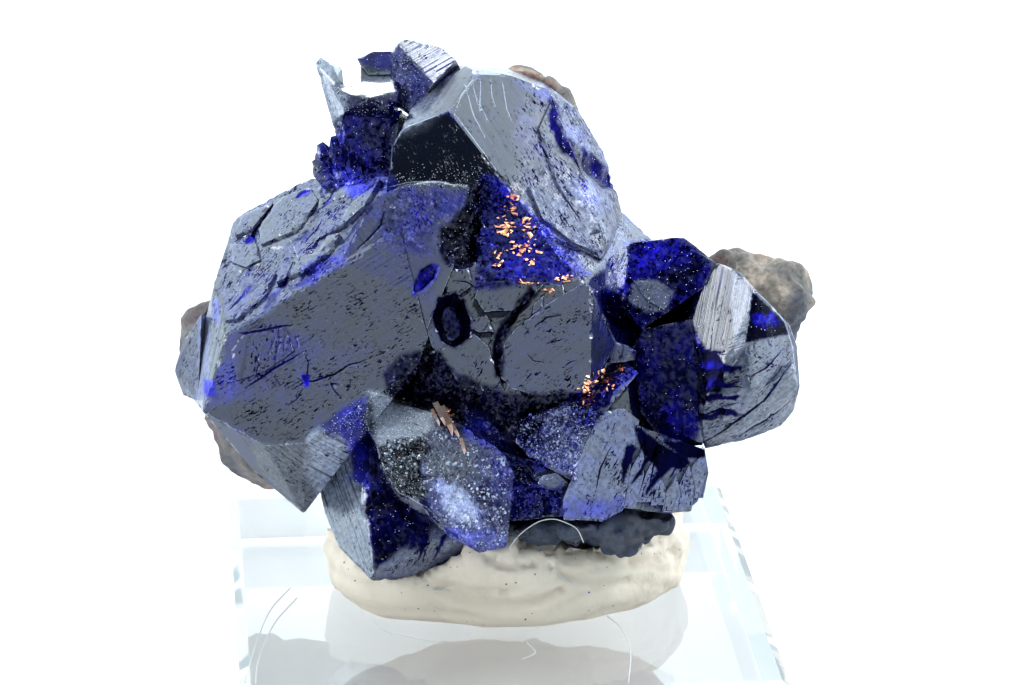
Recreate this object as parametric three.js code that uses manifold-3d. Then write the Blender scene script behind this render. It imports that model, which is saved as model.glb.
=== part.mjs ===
// An azurite specimen: deep blue, glassy, flat-faced crystals grown together on a rusty brown
// rock, pressed into a lump of white mineral tack on a clear acrylic block.
//
// Millimetres, +Z up, +X to the right and -Y towards the display side. The origin is the middle
// of the block's underside. The crystals are described in the specimen's own frame, which leans
// back and turns on the block: x to the right, y away from the viewer, z up, zero in its middle.
import * as THREE from "three";
import { ConvexGeometry } from "three/addons/geometries/ConvexGeometry.js";
import { mergeVertices } from "three/addons/utils/BufferGeometryUtils.js";
import Module from "manifold-3d";

// Driving dimensions
const blockSide = 32;
const blockHeight = 10;
const blockChamfer = 0.6;
const tackX = 0.6;
const tackY = 0.3;
const tackHalfWidth = 11.1;
const tackHalfDepth = 7.5;
const tackHeight = 4.9;
const clearance = 0.3;

// How the specimen sits: its middle above the block, its lean and its turn
const specimenX = 0.96;
const specimenHeight = 15.8;
const leanDeg = -20;
const turnDeg = -5;

const wasm = await Module();
wasm.setup();

const vector = ([x, y, z]) => new THREE.Vector3(x, y, z);

// A flat face square to a direction, through a point.
const square = (direction, point) =>
  new THREE.Plane().setFromNormalAndCoplanarPoint(vector(direction).normalize(), vector(point));

// The corner of a face that is seen at (x, z).
function on({ normal, constant }, x, z) {
  return [x, -(constant + normal.x * x + normal.z * z) / normal.y, z];
}

// The corners of a flat face that are seen at these places.
const flat = (plane, outline) => outline.map(([x, z]) => on(plane, x, z));

// A face that shares an edge with another, seen from (x, z) to (x, z), and passes through a corner.
const hinged = (plane, [x1, z1], [x2, z2], corner) =>
  new THREE.Plane().setFromCoplanarPoints(
    vector(on(plane, x1, z1)),
    vector(on(plane, x2, z2)),
    vector(corner),
  );

// A face set back from another by a distance.
const behind = (plane, distance) => plane.clone().translate(new THREE.Vector3(0, distance, 0));

// A thin growth layer that stands proud of a face.
function layer(plane, outline, rise) {
  const outward = plane.normal.clone().multiplyScalar(plane.normal.y < 0 ? 1 : -1);
  const corners = flat(plane, outline).map(vector);
  const middle = corners
    .reduce((sum, corner) => sum.add(corner), new THREE.Vector3())
    .divideScalar(corners.length);
  const root = 0.6;
  const taper = 0.93;
  return corners.flatMap((corner) => [
    corner.clone().addScaledVector(outward, -root).toArray(),
    corner.clone().lerp(middle, 1 - taper).addScaledVector(outward, rise).toArray(),
  ]);
}

// A small six-sided crystal, a little flattened, with a wedge at its tip.
function spike(base, tip, width) {
  const flatness = 2 / 3;
  const shoulderShare = 0.7;
  const wedgeShare = 0.35;
  const axis = vector(tip).sub(vector(base));
  const across = new THREE.Vector3(0, 1, 0).cross(axis).normalize().multiplyScalar(width / 2);
  const depth = axis.clone().cross(across).normalize().multiplyScalar((flatness * width) / 2);
  const shoulder = vector(base).addScaledVector(axis, shoulderShare);
  const ring = (centre) =>
    [0, 1, 2, 3, 4, 5].map((side) => {
      const angle = (side * Math.PI) / 3;
      return centre
        .clone()
        .addScaledVector(across, Math.cos(angle))
        .addScaledVector(depth, Math.sin(angle))
        .toArray();
    });
  const edge = across.clone().multiplyScalar(wedgeShare);
  return [
    ...ring(vector(base)),
    ...ring(shoulder),
    vector(tip).add(edge).toArray(),
    vector(tip).sub(edge).toArray(),
  ];
}

// The large tabular crystal on the left: its broad front, and the bevel above it
const mainFront = square([-0.25, -0.93, 0.25], [-12.1, -5.7, -6.0]);
const mainUpper = hinged(mainFront, [-17.0, 0.5], [-6.6, 6.6], [-14.2, 2.5, 8.6]);
const mainCrystal = [
  ...flat(mainFront, [
    [-17.0, 0.5],
    [-6.6, 6.6],
    [-4.9, 0.2],
    [-5.6, -1.5],
    [-12.0, -5.9],
    [-14.5, -6.1],
    [-16.0, -5.3],
    [-18.3, -4.1],
  ]),
  ...flat(mainUpper, [
    [-17.9, 3.6],
    [-17.1, 6.3],
    [-16.7, 7.6],
    [-14.5, 8.8],
    [-12.3, 9.9],
    [-7.2, 9.9],
  ]),
  [-18.6, 1.0, 0.8],
  [-19.2, 0.8, -3.4],
  [-15.2, -2.2, -7.8],
  [-13.3, -1.9, -9.4],
  [-12.4, -2.0, -10.2],
  [-11.6, -2.2, -8.9],
  [-17.4, 5.0, 6.0],
  [-16.4, 5.6, 7.2],
  [-12.4, 6.4, 9.4],
  [-7.0, 6.6, 9.6],
  [-18.8, 4.4, 0.4],
  [-18.6, 4.2, -3.4],
  [-12.8, 3.6, -8.0],
  [-6.0, 6.0, -1.6],
];

// The growth layers that lie like shingles on it: each face, rise and outline
const mainLayers = [
  {
    face: mainUpper,
    rise: 0.42,
    outline: [[-11.4, 8.3], [-10.0, 9.1], [-7.6, 9.6], [-8.6, 7.9], [-9.7, 6.9], [-11.6, 5.7]],
  },
  {
    face: mainUpper,
    rise: 0.34,
    outline: [[-13.4, 5.2], [-12.4, 5.7], [-10.0, 6.3], [-10.6, 5.3], [-12.2, 4.1], [-14.0, 3.3]],
  },
  {
    face: mainUpper,
    rise: 0.18,
    outline: [[-16.8, 5.9], [-15.6, 6.6], [-15.0, 4.8], [-15.8, 4.4], [-17.0, 4.8]],
  },
  {
    face: mainUpper,
    rise: 0.26,
    outline: [[-16.3, 7.4], [-14.3, 8.3], [-15.6, 6.7], [-16.6, 6.3]],
  },
  {
    face: mainUpper,
    rise: 0.22,
    outline: [[-14.0, 8.5], [-12.1, 9.3], [-11.5, 8.4], [-12.7, 6.6], [-15.0, 5.7], [-15.3, 6.7]],
  },
  {
    face: mainUpper,
    rise: 0.2,
    outline: [[-17.3, 2.9], [-15.0, 4.4], [-13.9, 4.1], [-14.6, 2.6], [-16.3, 1.2], [-17.1, 1.1]],
  },
  {
    face: mainFront,
    rise: 0.12,
    outline: [[-16.0, 0.6], [-13.3, 1.1], [-12.7, -0.5], [-14.5, -1.8], [-16.3, -2.4], [-16.8, -0.5]],
  },
].map(({ face, rise, outline }) => layer(face, outline, rise));

// The thin wing at its far left
const leftWing = [
  [-18.6, -0.4, 1.7],
  [-19.8, 1.2, 0.1],
  [-20.4, 1.6, -1.7],
  [-19.8, 1.2, -3.2],
  [-18.8, -0.6, -3.5],
  [-18.0, 4.8, 1.4],
  [-19.8, 4.6, -1.6],
  [-18.2, 4.8, -3.2],
];

// Its round-topped right shoulder, one thin layer lower
const shoulderFront = behind(mainFront, 0.15);
const shoulderOutline = [
  [-10.2, 4.6],
  [-8.9, 7.3],
  [-8.0, 8.6],
  [-6.7, 9.3],
  [-4.8, 9.6],
  [-2.6, 9.3],
  [-2.0, 7.9],
  [-4.0, 4.9],
  [-4.9, 2.7],
  [-5.2, 0.2],
];
const shoulderDepth = 5;
const mainShoulder = [
  ...flat(shoulderFront, shoulderOutline),
  ...flat(behind(shoulderFront, shoulderDepth), shoulderOutline),
];

// The big upright crystal at the top, with its dark front face
const topFront = square([0, -1, 0], [-4, -1.5, 10]);
const topLeft = hinged(topFront, [-6.6, 12.7], [-3.8, 13.8], [-3.6, 1.4, 16.1]);
const topRight = hinged(topFront, [-3.8, 13.8], [-0.8, 10.0], [2.2, 2.0, 15.3]);
const topCrystal = [
  ...flat(topFront, [
    [-7.5, 9.0],
    [-7.1, 11.7],
    [-6.6, 12.7],
    [-3.8, 13.8],
    [-0.8, 10.0],
    [-0.6, 9.0],
  ]),
  ...flat(topLeft, [
    [-5.8, 14.6],
    [-4.3, 15.8],
    [-2.8, 16.7],
    [-2.5, 15.6],
  ]),
  ...flat(topRight, [
    [-1.9, 16.1],
    [-0.1, 16.1],
    [2.2, 15.3],
    [5.7, 5.9],
    [5.4, 5.0],
    [2.0, 6.5],
    [0.5, 8.7],
  ]),
  [4.0, 4.2, 14.2],
  [5.5, 5.2, 11.8],
  [6.3, 5.6, 9.9],
  [6.7, 5.4, 8.0],
  [6.6, 4.6, 6.4],
  [-3.4, 4.0, 16.9],
  [-0.2, 5.5, 16.8],
  [1.9, 5.5, 16.0],
  [-6.6, 4.5, 12.6],
  [-7.1, 4.5, 9.6],
  [-5.8, 5.0, 14.6],
  [3.0, 7.2, 13.0],
  [5.8, 7.2, 8.0],
  [-2.0, 7.4, 14.0],
  [-6.0, 7.0, 9.0],
  [5.0, 6.0, 5.0],
];
const topFlow = [
  [2.2, 14.8],
  [3.4, 11.6],
  [4.8, 8.6],
  [5.4, 6.4],
  [4.6, 6.2],
  [2.6, 9.4],
  [1.4, 13.0],
];
const topLip = [
  [0.8, 9.4],
  [2.8, 9.0],
  [4.9, 6.0],
  [5.2, 5.2],
  [3.6, 5.8],
  [1.6, 7.4],
];
const topLayers = [layer(topRight, topFlow, 0.2), layer(topRight, topLip, 0.25)];

// The striated prism that leans over the top left, with a stub beside it
const leaningPrism = [
  [-5.9, 0.4, 16.8],
  [-4.7, 0.4, 15.6],
  [-6.9, 0.6, 18.0],
  [-6.5, 1.0, 18.3],
  [-4.3, 2.0, 17.9],
  [-3.4, 2.2, 17.1],
  [-4.0, 1.6, 16.1],
  [-7.4, 1.4, 17.3],
  [-7.1, 1.4, 14.3],
  [-6.1, 0.9, 13.9],
  [-5.2, 0.6, 14.8],
  [-6.7, 3.0, 18.2],
  [-4.2, 3.6, 17.8],
  [-3.2, 3.6, 16.8],
  [-7.3, 3.0, 16.5],
  [-6.0, 3.0, 13.6],
];
const prismStub = [
  [-9.4, 2.3, 17.2],
  [-8.4, 2.2, 17.6],
  [-7.2, 2.0, 17.6],
  [-7.2, 1.6, 16.2],
  [-8.7, 2.0, 16.2],
  [-9.2, 4.0, 17.2],
  [-7.2, 4.0, 17.6],
  [-7.2, 4.0, 15.8],
  [-8.8, 4.0, 16.0],
];

// The crystal behind, whose bright flat top faces up
const upperLeftTop = square([-0.12, -0.54, 0.83], [-8.5, -0.2, 14.7]);
const upperLeftCrystal = [
  ...flat(upperLeftTop, [
    [-11.0, 16.1],
    [-10.3, 16.7],
    [-9.4, 17.1],
    [-7.3, 16.3],
    [-6.8, 15.1],
    [-8.5, 14.7],
    [-9.7, 14.9],
    [-10.9, 15.5],
  ]),
  [-10.0, 0.8, 13.9],
  [-7.2, 0.6, 13.5],
  [-11.0, 4.8, 16.2],
  [-9.4, 5.2, 16.9],
  [-7.0, 5.0, 16.0],
  [-10.0, 4.5, 12.0],
  [-7.0, 5.0, 12.0],
];
const paleCrystal = [
  [-11.9, 2.4, 16.9],
  [-11.6, 2.6, 17.3],
  [-10.9, 2.0, 16.8],
  [-9.9, 0.9, 14.9],
  [-10.3, 1.0, 12.8],
  [-10.6, 1.4, 12.4],
  [-11.3, 2.0, 15.0],
  [-11.4, 4.6, 16.4],
  [-10.2, 4.8, 12.6],
  [-9.6, 4.8, 16.4],
];

// The dark blue block under it, deep between the main and top crystals, and the tips beside it
const upperLeftBlock = [
  [-10.3, 1.2, 13.8],
  [-6.7, 0.8, 14.0],
  [-7.4, 0.2, 9.4],
  [-9.4, 0.0, 9.2],
  [-11.3, 1.2, 9.4],
  [-10.7, 1.4, 12.0],
  [-10.4, 5.0, 13.4],
  [-6.2, 5.0, 13.8],
  [-11.0, 5.0, 9.0],
  [-7.0, 5.0, 9.0],
];
const upperLeftTips = [
  spike([-10.6, 1.4, 9.6], [-11.6, 1.0, 12.0], 1.3),
  spike([-10.4, 1.2, 9.0], [-11.9, 0.6, 11.0], 1.2),
  spike([-10.0, 0.8, 9.2], [-10.7, 0.2, 12.4], 1.1),
  spike([-9.0, 0.8, 9.0], [-9.6, -0.2, 11.4], 1.2),
];

// The right-hand crystal: a striated left face, a dark front face and a broad lower face
const rightBright = square([-0.55, -0.82, 0.16], [13.8, -5.6, -0.1]);
const rightCrystal = [
  ...flat(rightBright, [
    [12.2, 4.7],
    [13.4, 4.2],
    [14.4, 3.0],
    [13.8, -0.1],
    [13.0, -0.6],
    [11.5, -0.5],
    [10.7, 1.4],
    [11.3, 3.2],
  ]),
  [16.4, -3.4, 1.1],
  [16.6, -3.3, 0.5],
  [16.9, -2.9, -0.2],
  [15.5, -4.6, -1.7],
  [14.0, -5.5, -2.9],
  [11.5, -5.0, -3.2],
  [17.1, -2.4, -2.6],
  [16.8, -2.0, -4.0],
  [16.0, -2.4, -5.0],
  [13.8, -2.6, -5.8],
  [11.5, -2.4, -6.3],
  [11.3, -3.8, -4.8],
  [12.1, 2.4, 4.4],
  [14.6, 2.0, 2.8],
  [16.8, 1.5, 0.6],
  [17.1, 2.0, -0.6],
  [17.1, 1.5, -2.8],
  [15.5, 1.5, -4.8],
  [12.0, 1.5, -5.8],
  [9.0, 3.0, 0.0],
  [9.0, 3.0, 3.0],
];
const rightLower = square([0.35, -0.8, -0.48], [15.5, -4.45, -2.4]);
const rightBand = [
  [16.7, -1.4],
  [16.9, -2.8],
  [14.4, -4.2],
  [12.2, -4.6],
  [12.4, -3.9],
  [14.6, -3.1],
];
const rightLayer = layer(rightLower, rightBand, 0.15);

// The rough dark crystals between it and the centre
const rightShoulderFront = square([-0.12, -0.97, 0.16], [8.8, -3.0, 3.4]);
const rightShoulder = [
  ...flat(rightShoulderFront, [
    [7.0, 5.9],
    [10.1, 6.3],
    [10.9, 5.7],
    [12.1, 4.7],
    [11.3, 3.2],
    [8.6, 1.4],
    [7.7, 0.8],
    [6.6, 2.6],
  ]),
  [5.6, -1.6, 4.9],
  [5.5, -1.8, 2.9],
  [7.0, 3.0, 5.6],
  [10.1, 3.0, 6.0],
  [12.0, 3.0, 4.4],
  [5.8, 3.0, 3.0],
  [8.0, 3.0, 1.0],
];
const rightPlateOutline = [
  [7.1, 3.7],
  [8.1, 3.7],
  [9.7, 2.5],
  [9.1, 1.8],
  [7.9, 2.5],
];
const rightPlate = layer(rightShoulderFront, rightPlateOutline, 0.5);
const rightHollow = [
  [7.7, -2.2, 0.8],
  [10.7, -2.9, 1.4],
  [11.6, -3.4, -0.5],
  [11.5, -3.4, -3.4],
  [11.3, -2.4, -6.1],
  [9.2, -1.8, -6.3],
  [7.7, -1.8, -4.1],
  [7.1, -1.9, -0.5],
  [7.5, 3.0, 0.8],
  [11.5, 3.0, 1.0],
  [11.5, 3.0, -5.0],
  [7.7, 3.0, -5.0],
];

// The central crystal and the broken plates beside it
const centreFront = square([0.1, -0.96, 0.25], [1, -5.5, 0]);
const centreOutline = [
  [-0.9, -1.4],
  [-0.4, 0.0],
  [0.2, 0.8],
  [1.6, 1.7],
  [2.2, 2.4],
  [4.4, 3.6],
  [4.7, 3.3],
  [4.6, -2.6],
  [4.3, -3.0],
  [1.1, -3.0],
  [0.0, -2.7],
  [-0.7, -2.0],
];
const centreCrystal = [
  ...flat(centreFront, centreOutline),
  [4.9, -3.9, 3.2],
  [5.5, -3.9, 0.8],
  [6.1, -3.5, -0.2],
  [4.9, -4.6, -2.5],
  [4.8, 0.0, 2.6],
  [5.8, 0.0, -0.2],
  [4.4, 0.0, -2.4],
  [0.0, 0.0, -2.2],
  [-0.6, 0.0, -1.4],
  [0.4, 0.0, 1.0],
];

// The plates of the broken face beside it: how far each sits back, and its outline
const centrePlateDepth = 4;
const centrePlates = [
  {
    setBack: 0.05,
    outline: [
      [-4.3, -0.5],
      [-3.1, 0.2],
      [-2.2, 0.5],
      [-1.4, -0.2],
      [-1.0, -2.2],
      [-0.5, -2.7],
      [-3.0, -2.6],
    ],
  },
  {
    setBack: 0.15,
    outline: [
      [-2.2, 2.6],
      [-1.9, 3.5],
      [-0.7, 3.6],
      [1.7, 3.9],
      [2.1, 3.7],
      [1.1, 2.5],
      [0.2, 1.9],
      [-1.6, 1.8],
    ],
  },
  {
    setBack: 0.3,
    outline: [[-4.0, 4.3], [-2.5, 4.4], [-2.3, 3.4], [-3.1, 2.8], [-3.9, 3.0]],
  },
  {
    setBack: 0.3,
    outline: [[-2.2, 1.4], [-1.5, 1.6], [-1.0, 0.6], [-1.9, 0.6], [-2.6, 0.9]],
  },
  {
    setBack: 0.4,
    outline: [[1.3, 2.3], [1.9, 2.8], [1.8, 2.0], [1.2, 1.7]],
  },
  {
    setBack: 1.1,
    outline: [
      [-5.0, 4.6],
      [-1.0, 4.0],
      [3.0, 3.4],
      [4.2, 0.0],
      [4.2, -2.6],
      [-3.0, -2.3],
      [-4.6, -0.6],
      [-5.4, 2.0],
    ],
  },
].map(({ setBack, outline }) => [
  ...flat(behind(centreFront, setBack), outline),
  ...flat(behind(centreFront, setBack + centrePlateDepth), outline),
]);
const centreEar = [
  [5.8, -3.3, 0.3],
  [7.5, -3.1, -0.5],
  [7.3, -3.1, -1.1],
  [5.8, -3.5, -1.2],
  [5.8, -1.0, 0.3],
  [7.4, -1.0, -0.7],
  [5.8, -1.0, -1.2],
];

// The lower left crystal, with a striated side and a broken foot
const lowerLeftSide = square([-0.65, -0.72, 0.1], [-8.3, -3.8, -13.8]);
const lowerLeftCrystal = [
  ...flat(lowerLeftSide, [
    [-12.2, -5.9],
    [-11.8, -7.7],
    [-11.2, -10.2],
    [-10.3, -12.2],
    [-9.2, -13.1],
    [-8.4, -14.0],
    [-8.2, -13.7],
    [-8.5, -11.3],
    [-9.5, -8.0],
    [-9.7, -5.9],
    [-11.5, -5.3],
  ]),
  [-8.2, -3.5, -14.1],
  [-6.7, -2.5, -14.1],
  [-4.9, -1.8, -13.6],
  [-3.0, -1.5, -12.7],
  [-3.0, -2.2, -11.7],
  [-3.8, -2.5, -11.2],
  [-4.0, -2.0, -6.0],
  [-8.6, -1.8, -4.0],
  [-12.2, 2.6, -6.2],
  [-11.2, 2.4, -10.0],
  [-8.6, 2.0, -13.0],
  [-4.0, 2.0, -12.0],
  [-4.0, 3.0, -6.0],
];

// The frosted crystal at the lower front
const frostedTop = square([-0.25, -0.85, 0.45], [-7.0, -4.8, -4.5]);
const frostedCrystal = [
  ...flat(frostedTop, [
    [-8.5, -3.2],
    [-4.7, -4.1],
    [-4.7, -5.3],
    [-5.8, -5.7],
    [-7.6, -6.5],
    [-8.6, -5.0],
  ]),
  [-7.0, -4.4, -9.0],
  [-5.6, -5.3, -9.9],
  [-3.0, -5.3, -4.8],
  [-0.6, -5.0, -6.4],
  [0.1, -4.8, -7.7],
  [-0.3, -4.8, -12.1],
  [-1.9, -5.5, -12.4],
  [-3.8, -5.7, -11.3],
  [-4.9, -5.9, -10.1],
  [-8.2, -0.6, -4.2],
  [-3.0, 0.0, -4.6],
  [-0.4, -1.0, -7.0],
  [-0.6, -1.4, -11.4],
  [-3.0, -1.4, -11.4],
  [-6.6, -0.6, -9.0],
];
const frostedTips = [
  spike([-3.6, -3.6, -7.2], [-4.3, -5.0, -3.9], 1.3),
  spike([-2.8, -3.4, -7.0], [-3.4, -4.8, -4.8], 1.1),
];

// The lower right crystal: a rough shoulder, a flat face and a row of broken fingers
const lowerRightFront = square([0.2, -0.95, 0.15], [6.5, -4.2, -3.8]);
const lowerRightCrystal = [
  ...flat(lowerRightFront, [
    [3.8, -8.3],
    [4.1, -6.5],
    [5.1, -4.2],
    [6.5, -3.8],
    [7.5, -4.6],
    [7.0, -7.2],
    [6.5, -9.9],
    [5.3, -10.5],
    [3.0, -10.4],
    [3.0, -9.2],
  ]),
  [5.2, 2.0, -4.2],
  [7.2, 2.0, -4.6],
  [6.4, 1.0, -9.8],
  [3.2, 1.0, -10.2],
];
// A finger of the broken edge, leaning to the right
function finger([xFoot, zFoot], [xTip, zTip], width, setBack) {
  const fingerDepth = 2.4;
  const front = behind(lowerRightFront, setBack);
  const back = behind(front, fingerDepth);
  const xMiddle = (xFoot + xTip) / 2;
  const zMiddle = (zFoot + zTip) / 2;
  const outline = [
    [xFoot - width / 2, zFoot],
    [xFoot + width / 2, zFoot],
    [xMiddle + width / 2, zMiddle],
    [xMiddle - width / 2, zMiddle],
    [xTip, zTip],
  ];
  return [...flat(front, outline), ...flat(back, outline)];
}
const lowerRightFingers = [
  finger([6.8, -9.7], [7.8, -6.0], 0.95, 0.1),
  finger([7.8, -9.4], [9.0, -5.9], 0.9, 0.2),
  finger([8.6, -9.6], [8.7, -7.6], 0.8, 0.15),
  finger([9.3, -10.0], [9.7, -7.8], 0.9, 0.25),
  finger([10.1, -10.0], [10.5, -7.2], 1.0, 0.3),
  finger([10.7, -9.2], [11.4, -6.2], 1.2, 0.35),
];
const lowerRightBacking = [
  ...flat(behind(lowerRightFront, 1.0), [
    [6.6, -4.6],
    [9.0, -6.0],
    [11.3, -6.3],
    [11.6, -7.4],
    [11.0, -9.4],
    [10.3, -10.0],
    [9.2, -10.1],
    [8.3, -9.5],
    [6.5, -9.8],
  ]),
  [7.0, 2.0, -5.0],
  [11.0, 1.6, -6.6],
  [10.6, 1.0, -9.2],
  [7.0, 1.0, -9.4],
];
const roughShoulder = [
  [0.5, -2.6, -4.6],
  [3.6, -2.9, -3.5],
  [5.2, -3.4, -4.2],
  [4.1, -4.3, -6.5],
  [3.8, -4.4, -8.3],
  [2.9, -4.2, -7.8],
  [1.0, -3.4, -6.8],
  [0.2, -2.8, -5.9],
  [0.5, 1.0, -4.6],
  [5.0, 1.0, -4.2],
  [3.8, 1.0, -8.3],
  [0.6, 1.0, -6.6],
];
const roughPlate = [
  [1.4, -4.1, -7.9],
  [2.6, -4.4, -7.7],
  [3.3, -4.6, -8.3],
  [2.8, -4.7, -8.8],
  [1.6, -4.4, -8.5],
  [1.6, -2.0, -8.0],
  [3.0, -2.0, -8.4],
  [2.0, -2.0, -8.8],
];
const lowerGap = [
  [-0.6, -3.0, -6.5],
  [3.2, -3.4, -7.5],
  [3.6, -3.6, -10.2],
  [0.0, -3.2, -10.6],
  [-1.4, -3.0, -9.0],
  [0.0, 2.0, -6.5],
  [3.2, 2.0, -7.5],
  [3.2, 1.0, -10.0],
  [0.0, 1.0, -10.4],
];

// The sloping ledge that carries a band of copper-coloured specks
const copperLedge = [
  [3.5, -3.2, -3.6],
  [6.8, -2.5, -1.2],
  [7.5, -2.9, -1.8],
  [6.0, -3.8, -3.5],
  [5.0, -4.0, -4.8],
  [3.8, -3.9, -5.2],
  [3.5, 1.0, -3.6],
  [6.8, 1.0, -1.2],
  [7.5, 1.0, -2.2],
  [3.8, 1.0, -5.0],
];

// The solid middle that all the crystals grow from
const coreCrystal = [
  [-7.0, -0.4, 9.4],
  [-0.6, -0.6, 9.6],
  [4.9, -1.2, 4.4],
  [4.6, -3.0, 3.0],
  [-2.4, -3.6, 3.2],
  [-4.6, -3.0, 2.0],
  [-4.0, -2.2, -3.0],
  [4.5, -2.4, -3.0],
  [-9.0, -0.4, -4.0],
  [8.4, -0.6, -4.0],
  [-7.6, 0.0, -9.4],
  [8.8, 0.0, -9.4],
  [-13.6, 5.0, 7.6],
  [-4.0, 6.6, 11.0],
  [5.0, 6.4, 9.6],
  [11.0, 4.6, 4.0],
  [11.6, 4.2, -4.0],
  [8.4, 4.0, -9.2],
  [-8.6, 4.0, -9.2],
  [-14.6, 4.6, -2.0],
];

// Every crystal, as a list of its corners
const crystals = [
  mainCrystal,
  ...mainLayers,
  leftWing,
  mainShoulder,
  topCrystal,
  ...topLayers,
  leaningPrism,
  prismStub,
  upperLeftCrystal,
  paleCrystal,
  upperLeftBlock,
  ...upperLeftTips,
  rightCrystal,
  rightLayer,
  rightShoulder,
  rightPlate,
  rightHollow,
  centreCrystal,
  ...centrePlates,
  centreEar,
  lowerLeftCrystal,
  frostedCrystal,
  ...frostedTips,
  lowerRightCrystal,
  ...lowerRightFingers,
  lowerRightBacking,
  roughShoulder,
  roughPlate,
  lowerGap,
  copperLedge,
  coreCrystal,
];

// The lumps of the brown rock behind the crystals: where each is, and how far it reaches
const rockLumps = [
  { at: [-5.0, 7.0, 0.5], reach: [10.6, 3.8, 8.8] },
  { at: [3.5, 7.2, 1.5], reach: [8.6, 4.0, 9.0] },
  { at: [14.2, 5.2, 2.5], reach: [5.0, 3.4, 3.7] },
  { at: [9.0, 6.0, 0.5], reach: [6.5, 3.2, 6.0] },
  { at: [1.2, 6.8, 14.2], reach: [3.4, 2.6, 3.1] },
  { at: [0.4, 7.8, 10.5], reach: [5.4, 3.0, 5.4] },
  { at: [-14.3, 6.4, -5.4], reach: [5.4, 3.4, 4.0] },
  { at: [-16.8, 5.4, 0.0], reach: [4.6, 2.8, 3.2] },
  { at: [0.0, 4.8, -7.4], reach: [10.0, 4.6, 4.2] },
  { at: [5.0, 0.2, -9.6], reach: [6.0, 3.8, 2.9] },
];
// The round dark lumps of its crust, under the crystals
const crustLumps = [
  { at: [1.6, -2.0, -10.7], reach: [1.9, 1.6, 1.4] },
  { at: [3.8, -2.2, -10.6], reach: [1.6, 1.6, 1.5] },
  { at: [6.4, -2.1, -11.2], reach: [1.7, 1.8, 1.7] },
  { at: [8.2, -1.3, -10.5], reach: [1.5, 1.6, 1.4] },
];

// A closed mesh as a manifold solid.
function solidOf(geometry) {
  const bare = geometry.clone();
  bare.deleteAttribute("normal");
  bare.deleteAttribute("uv");
  const merged = mergeVertices(bare, 1e-4);
  return new wasm.Manifold(
    new wasm.Mesh({
      numProp: 3,
      vertProperties: new Float32Array(merged.attributes.position.array),
      triVerts: new Uint32Array(merged.index.array),
    }),
  );
}

// A manifold solid as a geometry for a mesh.
function geometryOf(solid) {
  const mesh = solid.getMesh();
  return new THREE.BufferGeometry()
    .setAttribute("position", new THREE.BufferAttribute(new Float32Array(mesh.vertProperties), 3))
    .setIndex(new THREE.BufferAttribute(new Uint32Array(mesh.triVerts), 1));
}

const union = (solids) => solids.reduce((all, one) => all.add(one));
const crystalSolid = (corners) => solidOf(new ConvexGeometry(corners.map(vector)));

// A crystal grown on every side by the clearance, to cut what holds it.
function crystalRoom(corners) {
  const growth = clearance * Math.sqrt(3);
  const axes = [[1, 0, 0], [0, 1, 0], [0, 0, 1], [-1, 0, 0], [0, -1, 0], [0, 0, -1]];
  return crystalSolid(
    corners.flatMap((corner) =>
      axes.map((axis) => vector(corner).addScaledVector(vector(axis), growth).toArray()),
    ),
  );
}

// How far the rock's surface is worn in at a place, from 0 to 1, in waves a few millimetres long.
function wornIn(x, y, z) {
  const broad = Math.sin(0.9 * x + 0.5 * z) * Math.sin(0.8 * z - 0.6 * y + 1.3);
  const narrow = Math.sin(2.1 * x - 1.1 * y + 0.4) * Math.sin(1.9 * z + 0.7 * x + 2.0);
  return 0.5 + 0.3 * broad + 0.2 * narrow;
}

// An uneven lump, a little larger than asked for by the room around it.
function lumpSolid({ at, reach }, unevenness, room) {
  const ball = new THREE.IcosahedronGeometry(1, 2);
  ball.deleteAttribute("normal");
  ball.deleteAttribute("uv");
  const lump = mergeVertices(ball, 1e-4);
  const place = lump.attributes.position;
  for (let i = 0; i < place.count; i += 1) {
    const [x, y, z] = [place.getX(i), place.getY(i), place.getZ(i)];
    const wear = wornIn(at[0] + x * reach[0], at[1] + y * reach[1], at[2] + z * reach[2]);
    const size = 1 - unevenness * wear;
    place.setXYZ(
      i,
      at[0] + x * (size * reach[0] + room),
      at[1] + y * (size * reach[1] + room),
      at[2] + z * (size * reach[2] + room),
    );
  }
  return solidOf(lump);
}

const rockUnevenness = 0.36;
const crustUnevenness = 0.1;
const rockSolid = (room) =>
  union([
    ...rockLumps.map((lump) => lumpSolid(lump, rockUnevenness, room)),
    ...crustLumps.map((lump) => lumpSolid(lump, crustUnevenness, room)),
  ]);

// The largest piece of a cut solid, without the crumbs.
const largest = (solid) =>
  solid.decompose().reduce((best, piece) => (piece.volume() > best.volume() ? piece : best));

const azurite = union(crystals.map(crystalSolid));
const azuriteRoom = union(crystals.map(crystalRoom));
const rock = largest(rockSolid(0).subtract(azuriteRoom));

const specimenFrame = new THREE.Group();
specimenFrame.position.set(specimenX, 0, blockHeight + specimenHeight);
specimenFrame.rotation.set(THREE.MathUtils.degToRad(leanDeg), 0, THREE.MathUtils.degToRad(turnDeg), "ZXY");
specimenFrame.updateMatrix();

// The putty is a low round lump, wider than deep, with the specimen's print in its top.
function tackGeometry() {
  const profile = [
    [0, 0],
    [0.9, 0],
    [0.97, 0.1],
    [1, 0.3],
    [1, 0.57],
    [0.955, 0.8],
    [0.87, 0.96],
    [0.7, 1.1],
    [0.4, 1.3],
    [0, 1.45],
  ].map(([across, up]) => new THREE.Vector2(across * tackHalfWidth, up * tackHeight));
  const sides = 36;
  const lump = new THREE.LatheGeometry(profile, sides)
    .rotateX(Math.PI / 2)
    .scale(1, tackHalfDepth / tackHalfWidth, 1)
    .translate(tackX, tackY, blockHeight);
  const print = geometryOf(azuriteRoom.add(rockSolid(clearance))).applyMatrix4(specimenFrame.matrix);
  return geometryOf(largest(solidOf(lump).subtract(solidOf(print))));
}

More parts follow.
